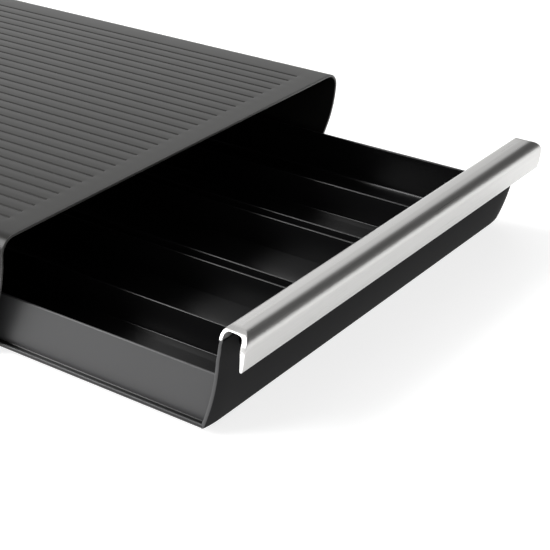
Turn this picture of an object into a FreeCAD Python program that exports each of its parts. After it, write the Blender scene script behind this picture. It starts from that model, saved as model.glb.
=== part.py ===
import FreeCAD
import Part
import math
import os

# Free-standing drawer unit: a thin wrap-round casing that stands on rubber feet and carries a load on its
# ribbed deck, and a five-lane tray that slides out on two rails behind a swept front with a hook handle.
#
# Frame: millimetres, +X to the right, +Y to the back, +Z up. Z = 0 is the surface that the feet stand on,
# X = 0 the plane of symmetry, Y = 0 the middle of the unit's length with the drawer out as modelled.
# Casing pieces are drawn with y = 0 at the deck's front edge, drawer pieces with y = 0 at the panel's foot
# and z = 0 at the drawer's underside.

# ---- driving dimensions ----
CASING_WIDTH = 313.0
CASING_DEPTH = 340.0
CASING_TOP = 76.0
CASING_WALL = 1.6
CASING_CORNER = 10.0
FOOT_HEIGHT = 1.6
FLANGE_THICK = 1.4
FLANGE_REACH = 14.5

EDGE_SWEEP_RADIUS = 110.0
EDGE_SWEEP_DROP = 40.0

GROOVE_COUNT = 29
GROOVE_PITCH = 9.5
GROOVE_RADIUS = 1.2
GROOVE_DEPTH = 0.7
GROOVE_BORDER = 17.0

DRAWER_BOTTOM = 4.5
OPENING = 131.0
CLOSING_STROKE = 149.0
FURTHER_STROKE = 95.0

PANEL_HALF = 151.0
PANEL_THICK = 2.0
PANEL_TOP = 55.2
FRONT_CORNER = 10.0
FRONT_HEIGHT = 61.4
HANDLE_REACH = 26.0

TRAY_BACK = 312.0
TRAY_WALL = 1.6
TRAY_HEIGHT = 30.2
TRAY_FLOOR = 1.8
TRAY_FRONT = 6.0
TRAY_FRONT_HEIGHT = 20.0
WALL_FOOT = 147.1
WALL_TOP = 144.5
LEDGE_THICK = 1.5
RIM_WIDTH = 1.1
RIM_HEIGHT = 2.25

DIVIDER_X = 92.0
CHANNEL_INNER_X = 30.1
CHANNEL_OUTER_X = 38.3
DIVIDER_THICK = 1.4
DIVIDER_TOP = 22.4
DIVIDER_BASE = 1.2

SLIDE_GAP = 0.4
SMALL_SCREW_R = 1.1
SCREW_R = 1.3
HOLE_EASE = 0.05
FIT_CLEAR = 0.02
WELD = 0.2

# ---- derived places ----
REST_LENGTH = HANDLE_REACH + OPENING + CASING_DEPTH
DRAWER_Y = HANDLE_REACH - REST_LENGTH / 2
CASING_Y = DRAWER_Y + OPENING
CASING_HALF = CASING_WIDTH / 2
INNER_HALF = CASING_HALF - CASING_WALL
FLANGE_TOP = FOOT_HEIGHT + FLANGE_THICK
DECK_UNDER = CASING_TOP - CASING_WALL

SIDES = {"left": -1, "right": 1}
os.makedirs("parts", exist_ok=True)


# ---- helpers ----
def vec(x, y, z):
    return FreeCAD.Vector(x, y, z)


def block(x, y, z):
    """Box from three (low, high) pairs, in either order."""
    low = [min(pair) for pair in (x, y, z)]
    high = [max(pair) for pair in (x, y, z)]
    return Part.makeBox(high[0] - low[0], high[1] - low[1], high[2] - low[2], vec(*low))


def rod(radius, start, end):
    """Round bar between two points."""
    axis = end - start
    return Part.makeCylinder(radius, axis.Length, start, axis)


def joined(shapes):
    """One solid from shapes that overlap or touch."""
    shapes = list(shapes)
    return shapes[0].fuse(shapes[1:]).removeSplitter()


def group(shapes):
    """Separate solids kept in one node."""
    return Part.makeCompound(list(shapes))


def outline(corners, place):
    """Closed wire through corners (a, b) or (a, b, radius); place turns (a, b) into a point."""
    points = [place(corner[0], corner[1]) for corner in corners]
    starts, ends, edges = [], [], []
    for i, corner in enumerate(corners):
        radius = corner[2] if len(corner) > 2 else 0.0
        here = points[i]
        if radius == 0.0:
            starts.append(here)
            ends.append(here)
            continue
        before = (points[i - 1] - here).normalize()
        after = (points[(i + 1) % len(points)] - here).normalize()
        half = before.getAngle(after) / 2
        reach = radius / math.tan(half)
        middle = here + (before + after).normalize() * (radius / math.sin(half) - radius)
        starts.append(here + before * reach)
        ends.append(here + after * reach)
        edges.append(Part.Arc(starts[i], middle, ends[i]).toShape())
    for i, end in enumerate(ends):
        start = starts[(i + 1) % len(starts)]
        if end.distanceToPoint(start) > 1e-6:
            edges.append(Part.LineSegment(end, start).toShape())
    return Part.Wire(Part.__sortEdges__(edges))


def along_x(corners, low, high):
    """Section of (y, z) corners carried from x = low to x = high."""
    face = Part.Face(outline(corners, lambda y, z: vec(low, y, z)))
    return face.extrude(vec(high - low, 0, 0))


def along_y(corners, low, high):
    """Section of (x, z) corners carried from y = low to y = high."""
    face = Part.Face(outline(corners, lambda x, z: vec(x, low, z)))
    return face.extrude(vec(0, high - low, 0))


def mirrored(corners):
    """Corner list for one half, followed by its mirror image in x, taken backwards."""
    return corners + [(-c[0],) + tuple(c[1:]) for c in reversed(corners)]


def flipped(shape, side):
    """The right-hand shape, or its mirror image for the left."""
    if side > 0:
        return shape
    return shape.mirror(vec(0, 0, 0), vec(1, 0, 0))


def screw(tip, head, radius, head_radius, head_height):
    """Pan-head screw: shank from tip to the head's underside, head beyond it."""
    axis = (head - tip).normalize()
    return joined([rod(radius, tip, head), rod(head_radius, head, head + axis * head_height)])


def flush_screw(tip, top, radius, head_radius, head_height):
    """Countersunk screw whose head ends flush at top."""
    axis = (top - tip).normalize()
    under = top - axis * head_height
    cone = Part.makeCone(radius, head_radius, head_height, under, axis)
    return joined([rod(radius, tip, top), cone])


def flush_hole(tip, top, radius, head_radius, head_height):
    """Tool that cuts the seat of a countersunk screw."""
    return flush_screw(tip, top, radius + HOLE_EASE, head_radius + HOLE_EASE, head_height)


def export(name, shape, y):
    """Write one node, moved from its drawing place to the unit's frame."""
    moved = shape.copy()
    moved.translate(vec(0, y, 0 if y == CASING_Y else DRAWER_BOTTOM))
    moved.exportStep("parts/" + name + ".step")


def casing_part(name, shape):
    export(name, shape, CASING_Y)


def drawer_part(name, shape):
    export(name, shape, DRAWER_Y)


# ---- casing ----
SWEEP_Y = EDGE_SWEEP_RADIUS - math.sqrt(EDGE_SWEEP_RADIUS ** 2 - EDGE_SWEEP_DROP ** 2)
SWEEP_SLOPE = EDGE_SWEEP_DROP / math.sqrt(EDGE_SWEEP_RADIUS ** 2 - EDGE_SWEEP_DROP ** 2)
SWEEP_Z = CASING_TOP - EDGE_SWEEP_DROP

REAR_PANEL_Y = CASING_DEPTH - 4.0
REAR_PANEL_THICK = 2.0
BOSS_LENGTH = 14.0
BOSS_X = 151.4
BOSS_HALF = 3.5
BOSS_HEIGHTS = (26.0, 62.0)
REAR_SCREW_LENGTH = 12.0
REAR_HEAD = (2.8, 1.5)
REAR_CLEAR = 0.15

BEAD_HALF_WIDTH = 130.0
BEAD_HEIGHTS = (14.0, 66.0)
BEAD_THICK = 3.0
BEAD_RISE = 0.8

BUMPER_X = 100.0
BUMPER_Z = 22.0
BUMPER_R = 6.0
BUMPER_EDGE_R = 1.6
BUMPER_STEM_R = 2.0
BUMPER_BUTTON_R = 3.0
BUMPER_BUTTON_THICK = 1.2

FLANGE_CORNER = 1.0
DECK_RIB_THICK = 1.6
DECK_RIB_DROP = 3.0
CROSS_RIB_COUNT = 5
CROSS_RIB_FIRST = 50.0
CROSS_RIB_PITCH = 60.0
CROSS_RIB_HALF = 140.0
LONG_RIB_X = 52.0
EDGE_MARGIN = 5.0


def front_of_casing_edge():
    """Space in front of the swept front edge: upright at the deck, then falling back to the foot."""
    middle_drop = EDGE_SWEEP_DROP / 2
    middle_y = EDGE_SWEEP_RADIUS - math.sqrt(EDGE_SWEEP_RADIUS ** 2 - middle_drop ** 2)
    x = -CASING_WIDTH
    above = CASING_TOP + EDGE_MARGIN
    top = vec(x, 0, CASING_TOP)
    bend = vec(x, SWEEP_Y, SWEEP_Z)
    foot = vec(x, SWEEP_Y + SWEEP_SLOPE * (SWEEP_Z + EDGE_MARGIN), -EDGE_MARGIN)
    ahead = [vec(x, -EDGE_MARGIN, -EDGE_MARGIN), vec(x, -EDGE_MARGIN, above)]
    corners = [foot] + ahead + [vec(x, 0, above), top]
    edges = [Part.LineSegment(a, b).toShape() for a, b in zip(corners, corners[1:])]
    edges.append(Part.Arc(top, vec(x, middle_y, CASING_TOP - middle_drop), bend).toShape())
    edges.append(Part.LineSegment(bend, foot).toShape())
    return Part.Face(Part.Wire(edges)).extrude(vec(2 * CASING_WIDTH, 0, 0))


def groove(x):
    """Round-bottomed groove with round ends, cut into the deck."""
    z = CASING_TOP + GROOVE_RADIUS - GROOVE_DEPTH
    ends = [vec(x, GROOVE_BORDER, z), vec(x, CASING_DEPTH - GROOVE_BORDER, z)]
    return joined([rod(GROOVE_RADIUS, *ends)] + [Part.makeSphere(GROOVE_RADIUS, end) for end in ends])


def rear_boss_places():
    return [(side * BOSS_X, z) for side in SIDES.values() for z in BOSS_HEIGHTS]


def casing_section():
    """Right half of the wrap-round section: down its outside, then up its inside."""
    return [
        (CASING_HALF, CASING_TOP, CASING_CORNER),
        (CASING_HALF, FOOT_HEIGHT, FLANGE_CORNER),
        (CASING_HALF - FLANGE_REACH, FOOT_HEIGHT),
        (CASING_HALF - FLANGE_REACH, FLANGE_TOP),
        (INNER_HALF, FLANGE_TOP),
        (INNER_HALF, DECK_UNDER, CASING_CORNER - CASING_WALL),
    ]


def deck_ribs():
    """Stiffening ribs under the deck: five across and two along."""
    heights = (DECK_UNDER - DECK_RIB_DROP, DECK_UNDER + WELD)
    places = [CROSS_RIB_FIRST + i * CROSS_RIB_PITCH for i in range(CROSS_RIB_COUNT)]
    across = (-CROSS_RIB_HALF, CROSS_RIB_HALF)
    ribs = [block(across, (y, y + DECK_RIB_THICK), heights) for y in places]
    for side in SIDES.values():
        x = side * LONG_RIB_X
        width = (x - DECK_RIB_THICK / 2, x + DECK_RIB_THICK / 2)
        ribs.append(block(width, (places[0], places[-1]), heights))
    return ribs


def rear_boss(x, z):
    """Post on the side wall that takes a screw of the rear panel."""
    width = (x - math.copysign(BOSS_HALF, x), math.copysign(INNER_HALF + WELD, x))
    return block(width, (REAR_PANEL_Y - BOSS_LENGTH, REAR_PANEL_Y), (z - BOSS_HALF, z + BOSS_HALF))


def rear_screw_line(x, z):
    """Tip inside the post, head behind the rear panel."""
    return vec(x, REAR_PANEL_Y - REAR_SCREW_LENGTH, z), vec(x, REAR_PANEL_Y + REAR_PANEL_THICK, z)


def rear_holes():
    return [rod(SCREW_R + HOLE_EASE, *rear_screw_line(x, z)) for x, z in rear_boss_places()]


def casing_shell():
    shell = along_y(mirrored(casing_section()), 0, CASING_DEPTH)
    bosses = [rear_boss(x, z) for x, z in rear_boss_places()]
    solid = joined([shell] + deck_ribs() + bosses)
    first = -(GROOVE_COUNT - 1) / 2 * GROOVE_PITCH
    grooves = [groove(first + i * GROOVE_PITCH) for i in range(GROOVE_COUNT)]
    return solid.cut(grooves + [front_of_casing_edge()] + rear_holes() + flange_holes())


def rear_panel():
    """Plate that closes the back, with a raised bead round its face."""
    half = INNER_HALF - REAR_CLEAR
    top = DECK_UNDER - REAR_CLEAR
    corner = CASING_CORNER - CASING_WALL - REAR_CLEAR
    section = [(half, FLANGE_TOP), (half, top, corner), (-half, top, corner), (-half, FLANGE_TOP)]
    back = REAR_PANEL_Y + REAR_PANEL_THICK
    plate = along_y(section, REAR_PANEL_Y, back)
    outer = block((-BEAD_HALF_WIDTH, BEAD_HALF_WIDTH), (back - WELD, back + BEAD_RISE), BEAD_HEIGHTS)
    inner_half = BEAD_HALF_WIDTH - BEAD_THICK
    inner_heights = (BEAD_HEIGHTS[0] + BEAD_THICK, BEAD_HEIGHTS[1] - BEAD_THICK)
    inner = block((-inner_half, inner_half), (REAR_PANEL_Y, back + BEAD_THICK), inner_heights)
    stems = [rod(BUMPER_STEM_R + HOLE_EASE, *bumper_line(side)) for side in SIDES.values()]
    return joined([plate, outer.cut(inner)]).cut(rear_holes() + stems)


def rear_panel_screws():
    return group(screw(*rear_screw_line(x, z), SCREW_R, *REAR_HEAD) for x, z in rear_boss_places())


def bumper_line(side):
    """Ends of a rubber buffer's stem, at the rear panel's two faces."""
    x = side * BUMPER_X
    return vec(x, REAR_PANEL_Y, BUMPER_Z), vec(x, REAR_PANEL_Y + REAR_PANEL_THICK, BUMPER_Z)


def bumper(side):
    """Rubber buffer: a pad in front of the rear panel, a stem through it and a button behind it."""
    stem_front, stem_back = bumper_line(side)
    front = TRAY_BACK + CLOSING_STROKE - OPENING + SLIDE_GAP
    pad = rod(BUMPER_R, vec(stem_front.x, front, BUMPER_Z), stem_front)
    front_edges = [edge for edge in pad.Edges if abs(edge.BoundBox.YMax - front) < 1e-3]
    pad = pad.makeFillet(BUMPER_EDGE_R, front_edges)
    button = rod(BUMPER_BUTTON_R, stem_back, stem_back + vec(0, BUMPER_BUTTON_THICK, 0))
    return joined([pad, rod(BUMPER_STEM_R, stem_front, stem_back), button])


# ---- underside: rails, ties, stops and feet ----
RAIL_START = 26.0
RAIL_END = 330.0
RAIL_WEB_X = PANEL_HALF + 0.9
RAIL_SHELF_X = WALL_FOOT + 0.1
RAIL_TOP_SHELF_X = WALL_FOOT + 1.6
SHELF_TOP = DRAWER_BOTTOM - SLIDE_GAP
CAP_BOTTOM = DRAWER_BOTTOM + RIM_HEIGHT + SLIDE_GAP
CAP_TOP = CAP_BOTTOM + 1.5
RAIL_SCREW_X = 150.4
RAIL_SCREW_PLACES = (112.0, 190.0, 268.0)
RAIL_SCREW_HEAD = (SMALL_SCREW_R, 2.1, 0.9)
SMALL_HEAD = (2.1, 1.1)

TIE_THICK = 1.0
TIE_WIDTH = 24.0
TIE_CORNER = 2.0
TIE_HALF = RAIL_SHELF_X - 0.2
TIE_PLACES = {"front": 66.0, "rear": 282.0}
TIE_SCREW_X = 144.6
TIE_SCREW_SPREAD = 7.0
TIE_SCREW_HEAD = (SMALL_SCREW_R, 1.9, 0.8)

LUG_Y = (288.0, 296.0)
STOP_X = PANEL_HALF - 3.0
STOP_TOP = 16.0
STOP_DEPTH = 9.5
STOP_BACK = LUG_Y[0] - OPENING - FURTHER_STROKE - 0.5

FOOT_X = 149.4
FOOT_WIDTH = 9.0
FOOT_LENGTH = 26.0
FOOT_EDGE_R = 0.5
FOOT_PLACES = {"front": 30.0, "rear": 306.0}


def rail_screw_points():
    return [(side * RAIL_SCREW_X, y) for side in SIDES.values() for y in RAIL_SCREW_PLACES]


def tie_screw_points():
    return [(side * TIE_SCREW_X, y + TIE_WIDTH / 2 + step)
            for side in SIDES.values() for y in TIE_PLACES.values()
            for step in (-TIE_SCREW_SPREAD, TIE_SCREW_SPREAD)]


def screw_line(x, y, top):
    """Tip and flush top of a small screw that goes down through the flange."""
    return vec(x, y, FOOT_HEIGHT + 0.1), vec(x, y, top)


def flange_holes():
    points = rail_screw_points() + tie_screw_points()
    return [rod(SMALL_SCREW_R + HOLE_EASE, vec(x, y, 0), vec(x, y, FLANGE_TOP + 1)) for x, y in points]


def runner_rail(side):
    """C section: the tray's ledge rides on the lower shelf and is kept down by the upper one."""
    section = [
        (RAIL_SHELF_X, FLANGE_TOP), (INNER_HALF, FLANGE_TOP), (INNER_HALF, CAP_TOP),
        (RAIL_TOP_SHELF_X, CAP_TOP, 0.5), (RAIL_TOP_SHELF_X, CAP_BOTTOM, 0.5),
        (RAIL_WEB_X, CAP_BOTTOM), (RAIL_WEB_X, SHELF_TOP), (RAIL_SHELF_X, SHELF_TOP, 0.4),
    ]
    rail = along_y(section, RAIL_START, RAIL_END)
    lines = [screw_line(RAIL_SCREW_X, y, SHELF_TOP) for y in RAIL_SCREW_PLACES]
    cutters = [flush_hole(*line, *RAIL_SCREW_HEAD) for line in lines]
    cutters.append(rod(SMALL_SCREW_R + HOLE_EASE, *stop_screw_line(1)))
    return flipped(rail.cut(cutters), side)


def stop_screw_line(side):
    y = STOP_BACK - STOP_DEPTH / 2
    x = side * (STOP_X + INNER_HALF) / 2
    return vec(x, y, CAP_BOTTOM + 0.3), vec(x, y, STOP_TOP)


def rail_screws():
    lines = [screw_line(x, y, SHELF_TOP) for x, y in rail_screw_points()]
    return group(flush_screw(*line, *RAIL_SCREW_HEAD) for line in lines)


def tie_screw_lines():
    return [screw_line(x, y, FLANGE_TOP + TIE_THICK) for x, y in tie_screw_points()]


def tie(y):
    """Steel strip that keeps the casing's two flanges at their distance."""
    strip = block((-TIE_HALF, TIE_HALF), (y, y + TIE_WIDTH), (FLANGE_TOP, FLANGE_TOP + TIE_THICK))
    corners = [edge for edge in strip.Edges if edge.BoundBox.ZLength > TIE_THICK / 2]
    strip = strip.makeFillet(TIE_CORNER, corners)
    return strip.cut([flush_hole(*line, *TIE_SCREW_HEAD) for line in tie_screw_lines()])


def tie_screws():
    return group(flush_screw(*line, *TIE_SCREW_HEAD) for line in tie_screw_lines())


def front_stop(side):
    """Block on the rail that the tray's lug meets at full extension."""
    body = block((STOP_X, INNER_HALF), (STOP_BACK - STOP_DEPTH, STOP_BACK), (CAP_TOP, STOP_TOP))
    hole = rod(SMALL_SCREW_R + HOLE_EASE, *stop_screw_line(1))
    return flipped(body.cut(hole), side)


def stop_screws():
    return group(screw(*stop_screw_line(side), SMALL_SCREW_R, *SMALL_HEAD) for side in SIDES.values())


def foot(side, y):
    """Rubber pad with rounded ends under the casing's flange."""
    x = side * FOOT_X
    radius = FOOT_WIDTH / 2
    bar = block((x - radius, x + radius), (y + radius, y + FOOT_LENGTH - radius), (0, FOOT_HEIGHT))
    middles = (y + radius, y + FOOT_LENGTH - radius)
    pad = joined([bar] + [rod(radius, vec(x, v, 0), vec(x, v, FOOT_HEIGHT)) for v in middles])
    rim = [edge for edge in pad.Edges if edge.BoundBox.ZMax < 1e-3]
    return pad.makeFillet(FOOT_EDGE_R, rim)


# ---- drawer front ----
PANEL_FOOT_Y = 1.4
PANEL_MIDDLE = (-7.5, 26.0)
PANEL_TOP_Y = -11.4
PANEL_SCREW_X = (-118.0, -65.0, 0.0, 65.0, 118.0)
PANEL_SCREW_Z = 12.0
PANEL_SCREW_TIP_Y = 0.6
PANEL_HEAD = (3.0, 1.7)
BOSS_R = 3.5
FOOT_CORNER = 1.5
FRONT_SPACE = (-40.0, 20.0)

HANDLE_PLATE = 1.85
HANDLE_BACK = -8.9
HANDLE_INNER_BACK = -10.9
HANDLE_INNER_FRONT = -21.9
HANDLE_NOSE_Z = 56.6
HANDLE_LEG = (-24.2, 46.0)
HANDLE_TIP_Y = (-23.0, -21.4)
HANDLE_TIP_Z = 41.4
HANDLE_BEND_Z = 52.0
HANDLE_EASE_R = 10.0

CARRIER_HALF = 138.0
CARRIER_BACK = -11.6
CARRIER_THICK = 1.8
CARRIER_FRONT = -20.0
CARRIER_LOW = 48.0
CARRIER_TOP = FRONT_HEIGHT - HANDLE_PLATE - 0.05
CARRIER_SCREW_X = (-120.0, -60.0, 0.0, 60.0, 120.0)
CARRIER_SCREW_Z = 50.6
CARRIER_TIP_Y = CARRIER_BACK - CARRIER_THICK + 0.2
CARRIER_HEAD_Y = -8.8
HANDLE_SCREW_Y = -16.8
HANDLE_SCREW_TOP = FRONT_HEIGHT - 0.6


def sweep(y_shift, top):
    """Points of the panel's swept face, moved back by y_shift, from its foot to its top."""
    foot = (PANEL_FOOT_Y + y_shift, 0.0)
    middle = (PANEL_MIDDLE[0] + y_shift, PANEL_MIDDLE[1])
    head = (PANEL_TOP_Y + y_shift, top)
    return foot, middle, head


def panel_face(x, low, high, y_back):
    """Face bounded by the swept curve at low shift and either another curve or a straight back."""
    front = [vec(x, y, z) for y, z in sweep(low, PANEL_TOP)]
    edges = [Part.Arc(*front).toShape()]
    if high is None:
        corners = [front[2], vec(x, y_back, PANEL_TOP), vec(x, y_back, 0), front[0]]
    else:
        back = [vec(x, y, z) for y, z in sweep(high, PANEL_TOP)]
        edges.append(Part.Arc(*back).toShape())
        edges.append(Part.LineSegment(front[2], back[2]).toShape())
        corners = [back[0], front[0]]
    edges += [Part.LineSegment(a, b).toShape() for a, b in zip(corners, corners[1:])]
    return Part.Face(Part.Wire(Part.__sortEdges__(edges)))


def front_contour(y_low, y_high):
    """Space inside the drawer front's outline as seen from the front, with its top corners rounded."""
    half = [(PANEL_HALF, 0, FOOT_CORNER), (PANEL_HALF, FRONT_HEIGHT, FRONT_CORNER)]
    return along_y(mirrored(half), y_low, y_high)


def front_panel():
    across = vec(2 * PANEL_HALF, 0, 0)
    plate = panel_face(-PANEL_HALF, 0.0, PANEL_THICK, None).extrude(across)
    plate = plate.common(front_contour(*FRONT_SPACE))
    behind = panel_face(-PANEL_HALF, PANEL_THICK / 2, None, FRONT_SPACE[1]).extrude(across)
    bosses = []
    holes = []
    for x in PANEL_SCREW_X:
        boss = rod(BOSS_R, vec(x, PANEL_TOP_Y, PANEL_SCREW_Z), vec(x, TRAY_FRONT, PANEL_SCREW_Z))
        bosses.append(boss.common(behind))
        holes.append(rod(SCREW_R + HOLE_EASE, *panel_screw_line(x)))
    for x in CARRIER_SCREW_X:
        holes.append(rod(SMALL_SCREW_R + HOLE_EASE, *carrier_screw_line(x)))
    return joined([plate] + bosses).cut(holes)


def panel_screw_line(x):
    """Tip and underside of the head, which sits inside the tray's front wall."""
    return vec(x, PANEL_SCREW_TIP_Y, PANEL_SCREW_Z), vec(x, TRAY_FRONT + TRAY_WALL, PANEL_SCREW_Z)


def panel_screws():
    return group(screw(*panel_screw_line(x), SCREW_R, *PANEL_HEAD) for x in PANEL_SCREW_X)


def handle():
    """Hook profile: it caps the panel, turns over and hangs in front of it as a pull."""
    under = FRONT_HEIGHT - HANDLE_PLATE
    section = [
        (HANDLE_BACK, PANEL_TOP), (HANDLE_BACK, FRONT_HEIGHT, 3.4),
        (-HANDLE_REACH, FRONT_HEIGHT, 3.6), (-HANDLE_REACH, HANDLE_NOSE_Z, 8.0),
        (*HANDLE_LEG, HANDLE_EASE_R), (HANDLE_TIP_Y[0], HANDLE_TIP_Z, 0.7),
        (HANDLE_TIP_Y[1], HANDLE_TIP_Z, 0.6),
        (HANDLE_INNER_FRONT, HANDLE_BEND_Z, HANDLE_EASE_R), (HANDLE_INNER_FRONT, under, 1.6),
        (HANDLE_INNER_BACK, under, 2.0), (HANDLE_INNER_BACK, PANEL_TOP),
    ]
    bar = along_x(section, -PANEL_HALF, PANEL_HALF).common(front_contour(*FRONT_SPACE))
    return bar.cut(handle_screw_holes())


def handle_carrier():
    """Angle strip inside the hook: one leg against the panel, one under the handle's top."""
    front_of_leg = CARRIER_BACK - CARRIER_THICK
    under = CARRIER_TOP - CARRIER_THICK
    section = [
        (CARRIER_BACK, CARRIER_LOW), (CARRIER_BACK, CARRIER_TOP, 2.0), (CARRIER_FRONT, CARRIER_TOP),
        (CARRIER_FRONT, under, 0.6), (front_of_leg, under, 0.8), (front_of_leg, CARRIER_LOW, 0.6),
    ]
    strip = along_x(section, -CARRIER_HALF, CARRIER_HALF)
    panel_holes = [rod(SMALL_SCREW_R + HOLE_EASE, *carrier_screw_line(x)) for x in CARRIER_SCREW_X]
    return strip.cut(handle_screw_holes() + panel_holes)


def handle_screw_line(x):
    """Tip inside the handle's top plate, head under the carrier."""
    return vec(x, HANDLE_SCREW_Y, HANDLE_SCREW_TOP), vec(x, HANDLE_SCREW_Y, CARRIER_TOP - CARRIER_THICK)


def handle_screw_holes():
    return [rod(SMALL_SCREW_R + HOLE_EASE, *handle_screw_line(x)) for x in CARRIER_SCREW_X]


def handle_screws():
    return group(screw(*handle_screw_line(x), SMALL_SCREW_R, *SMALL_HEAD) for x in CARRIER_SCREW_X)


def carrier_screw_line(x):
    """Tip at the carrier's front, head behind the panel."""
    return vec(x, CARRIER_TIP_Y, CARRIER_SCREW_Z), vec(x, CARRIER_HEAD_Y, CARRIER_SCREW_Z)


def carrier_screws():
    return group(screw(*carrier_screw_line(x), SMALL_SCREW_R, *SMALL_HEAD) for x in CARRIER_SCREW_X)


# ---- tray ----
PEG_R = 1.5
PEG_FOOT = 0.3
PEG_PLACES = (40.0, 160.0, 280.0)
BASE_HALF = 6.0
DIVIDER_SPAN = (TRAY_FRONT + TRAY_WALL + 0.2, TRAY_BACK - TRAY_WALL - 0.2)
CHANNEL_X = (CHANNEL_INNER_X + CHANNEL_OUTER_X) / 2
LUG_Z = (CAP_TOP + 0.7 - DRAWER_BOTTOM, STOP_TOP - DRAWER_BOTTOM - 0.5)
LUG_REACH = INNER_HALF - 1.3
LUG_SCREW_Z = sum(LUG_Z) / 2


def wall_x(z):
    """Outer face of the right-hand tray wall, which leans in towards its top."""
    return WALL_FOOT + (WALL_TOP - WALL_FOOT) * (z - LEDGE_THICK) / (TRAY_HEIGHT - LEDGE_THICK)


def peg_points():
    xs = [side * x for side in SIDES.values() for x in (DIVIDER_X, CHANNEL_X)]
    return [(x, y) for x in xs for y in PEG_PLACES]


def tray():
    half = [
        (PANEL_HALF, 0, 0.4), (PANEL_HALF, RIM_HEIGHT, 0.4), (PANEL_HALF - RIM_WIDTH, RIM_HEIGHT, 0.3),
        (PANEL_HALF - RIM_WIDTH, LEDGE_THICK), (WALL_FOOT, LEDGE_THICK), (WALL_TOP, TRAY_HEIGHT, 0.6),
        (WALL_TOP - TRAY_WALL, TRAY_HEIGHT, 0.6), (wall_x(TRAY_FLOOR) - TRAY_WALL, TRAY_FLOOR, 0.8),
    ]
    body = along_y(mirrored(half), PANEL_TOP_Y, TRAY_BACK)
    reach = WALL_TOP - TRAY_WALL / 2
    front_wall = block((-reach, reach), (TRAY_FRONT, TRAY_FRONT + TRAY_WALL), (WELD, TRAY_FRONT_HEIGHT))
    back_half = [(WALL_FOOT - WELD, WELD), (WALL_TOP - WELD, TRAY_HEIGHT, 0.6)]
    back_wall = along_y(mirrored(back_half), TRAY_BACK - TRAY_WALL, TRAY_BACK)
    ahead = panel_face(-CASING_WIDTH, FRONT_SPACE[0], PANEL_THICK + FIT_CLEAR, None)
    ahead = ahead.extrude(vec(2 * CASING_WIDTH, 0, 0))
    holes = [rod(PEG_R + HOLE_EASE, vec(x, y, -1), vec(x, y, TRAY_FLOOR + 1)) for x, y in peg_points()]
    holes += [rod(SCREW_R + HOLE_EASE, *panel_screw_line(x)) for x in PANEL_SCREW_X]
    holes += [rod(SMALL_SCREW_R + HOLE_EASE, *lug_screw_line(side)) for side in SIDES.values()]
    return joined([body, front_wall, back_wall]).cut([ahead] + holes)


def divider(x, blades, base_half):
    """Thin blades on a flat base that is pegged to the tray floor."""
    top = TRAY_FLOOR + DIVIDER_BASE
    pieces = [block((x - base_half, x + base_half), DIVIDER_SPAN, (TRAY_FLOOR, top))]
    for blade in blades:
        left = blade - DIVIDER_THICK / 2
        right = blade + DIVIDER_THICK / 2
        foot = TRAY_FLOOR + WELD
        section = [(left, foot), (left, DIVIDER_TOP, 0.4), (right, DIVIDER_TOP, 0.4), (right, foot)]
        pieces.append(along_y(section, *DIVIDER_SPAN))
    pieces += [rod(PEG_R, vec(x, y, PEG_FOOT), vec(x, y, top)) for y in PEG_PLACES]
    return joined(pieces)


def single_divider(side):
    x = side * DIVIDER_X
    return divider(x, [x], BASE_HALF)


def divider_channel(side):
    blades = [side * CHANNEL_INNER_X, side * CHANNEL_OUTER_X]
    half = (CHANNEL_OUTER_X - CHANNEL_INNER_X + DIVIDER_THICK) / 2
    return divider(side * CHANNEL_X, blades, half)


def stop_lug(side):
    """Lug on the tray wall that runs above the rail and meets the front stop."""
    low, high = LUG_Z
    section = [(wall_x(low) + FIT_CLEAR, low), (LUG_REACH, low, 0.8), (LUG_REACH, high, 0.8),
               (wall_x(high) + FIT_CLEAR, high)]
    body = along_y(section, *LUG_Y)
    return flipped(body.cut(rod(SMALL_SCREW_R + HOLE_EASE, *lug_screw_line(1))), side)


def lug_screw_line(side):
    """Tip inside the lug, head inside the tray wall."""
    y = sum(LUG_Y) / 2
    head_x = wall_x(LUG_Z[0]) - TRAY_WALL - 0.8
    return vec(side * (LUG_REACH - 1.5), y, LUG_SCREW_Z), vec(side * head_x, y, LUG_SCREW_Z)


def lug_screws():
    return group(screw(*lug_screw_line(side), SMALL_SCREW_R, *SMALL_HEAD) for side in SIDES.values())


# ---- nodes ----
casing_part("casing_shell", casing_shell())
casing_part("rear_panel", rear_panel())
casing_part("rear_panel_screws", rear_panel_screws())
casing_part("rail_screws", rail_screws())
casing_part("tie_screws", tie_screws())
casing_part("stop_screws", stop_screws())
for end, place in TIE_PLACES.items():
    casing_part(end + "_tie", tie(place))

drawer_part("tray", tray())
drawer_part("front_panel", front_panel())
drawer_part("panel_screws", panel_screws())
drawer_part("handle", handle())
drawer_part("handle_carrier", handle_carrier())
drawer_part("handle_screws", handle_screws())
drawer_part("carrier_screws", carrier_screws())
drawer_part("lug_screws", lug_screws())

for name, side in SIDES.items():
    casing_part("runner_rail_" + name, runner_rail(side))
    casing_part("front_stop_" + name, front_stop(side))
    casing_part("closing_bumper_" + name, bumper(side))
    for end, place in FOOT_PLACES.items():
        casing_part("foot_" + end + "_" + name, foot(side, place))
    drawer_part("divider_" + name, single_divider(side))
    drawer_part("divider_channel_" + name, divider_channel(side))
    drawer_part("stop_lug_" + name, stop_lug(side))
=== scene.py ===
"""Looks of a desk drawer unit: a ribbed wrap-round casing and a five-lane drawer with a brushed hook handle.

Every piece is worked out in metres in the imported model's own frame: +X right, +Y back, +Z up, and the unit
stands on Z = 0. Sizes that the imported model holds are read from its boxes; the small ones are class fields.
"""

import logging
import math
from dataclasses import dataclass, field, replace
from enum import Enum
from typing import Callable, ClassVar, Optional, Sequence

import bpy
import numpy as np
from mathutils import Matrix, Vector


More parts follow.
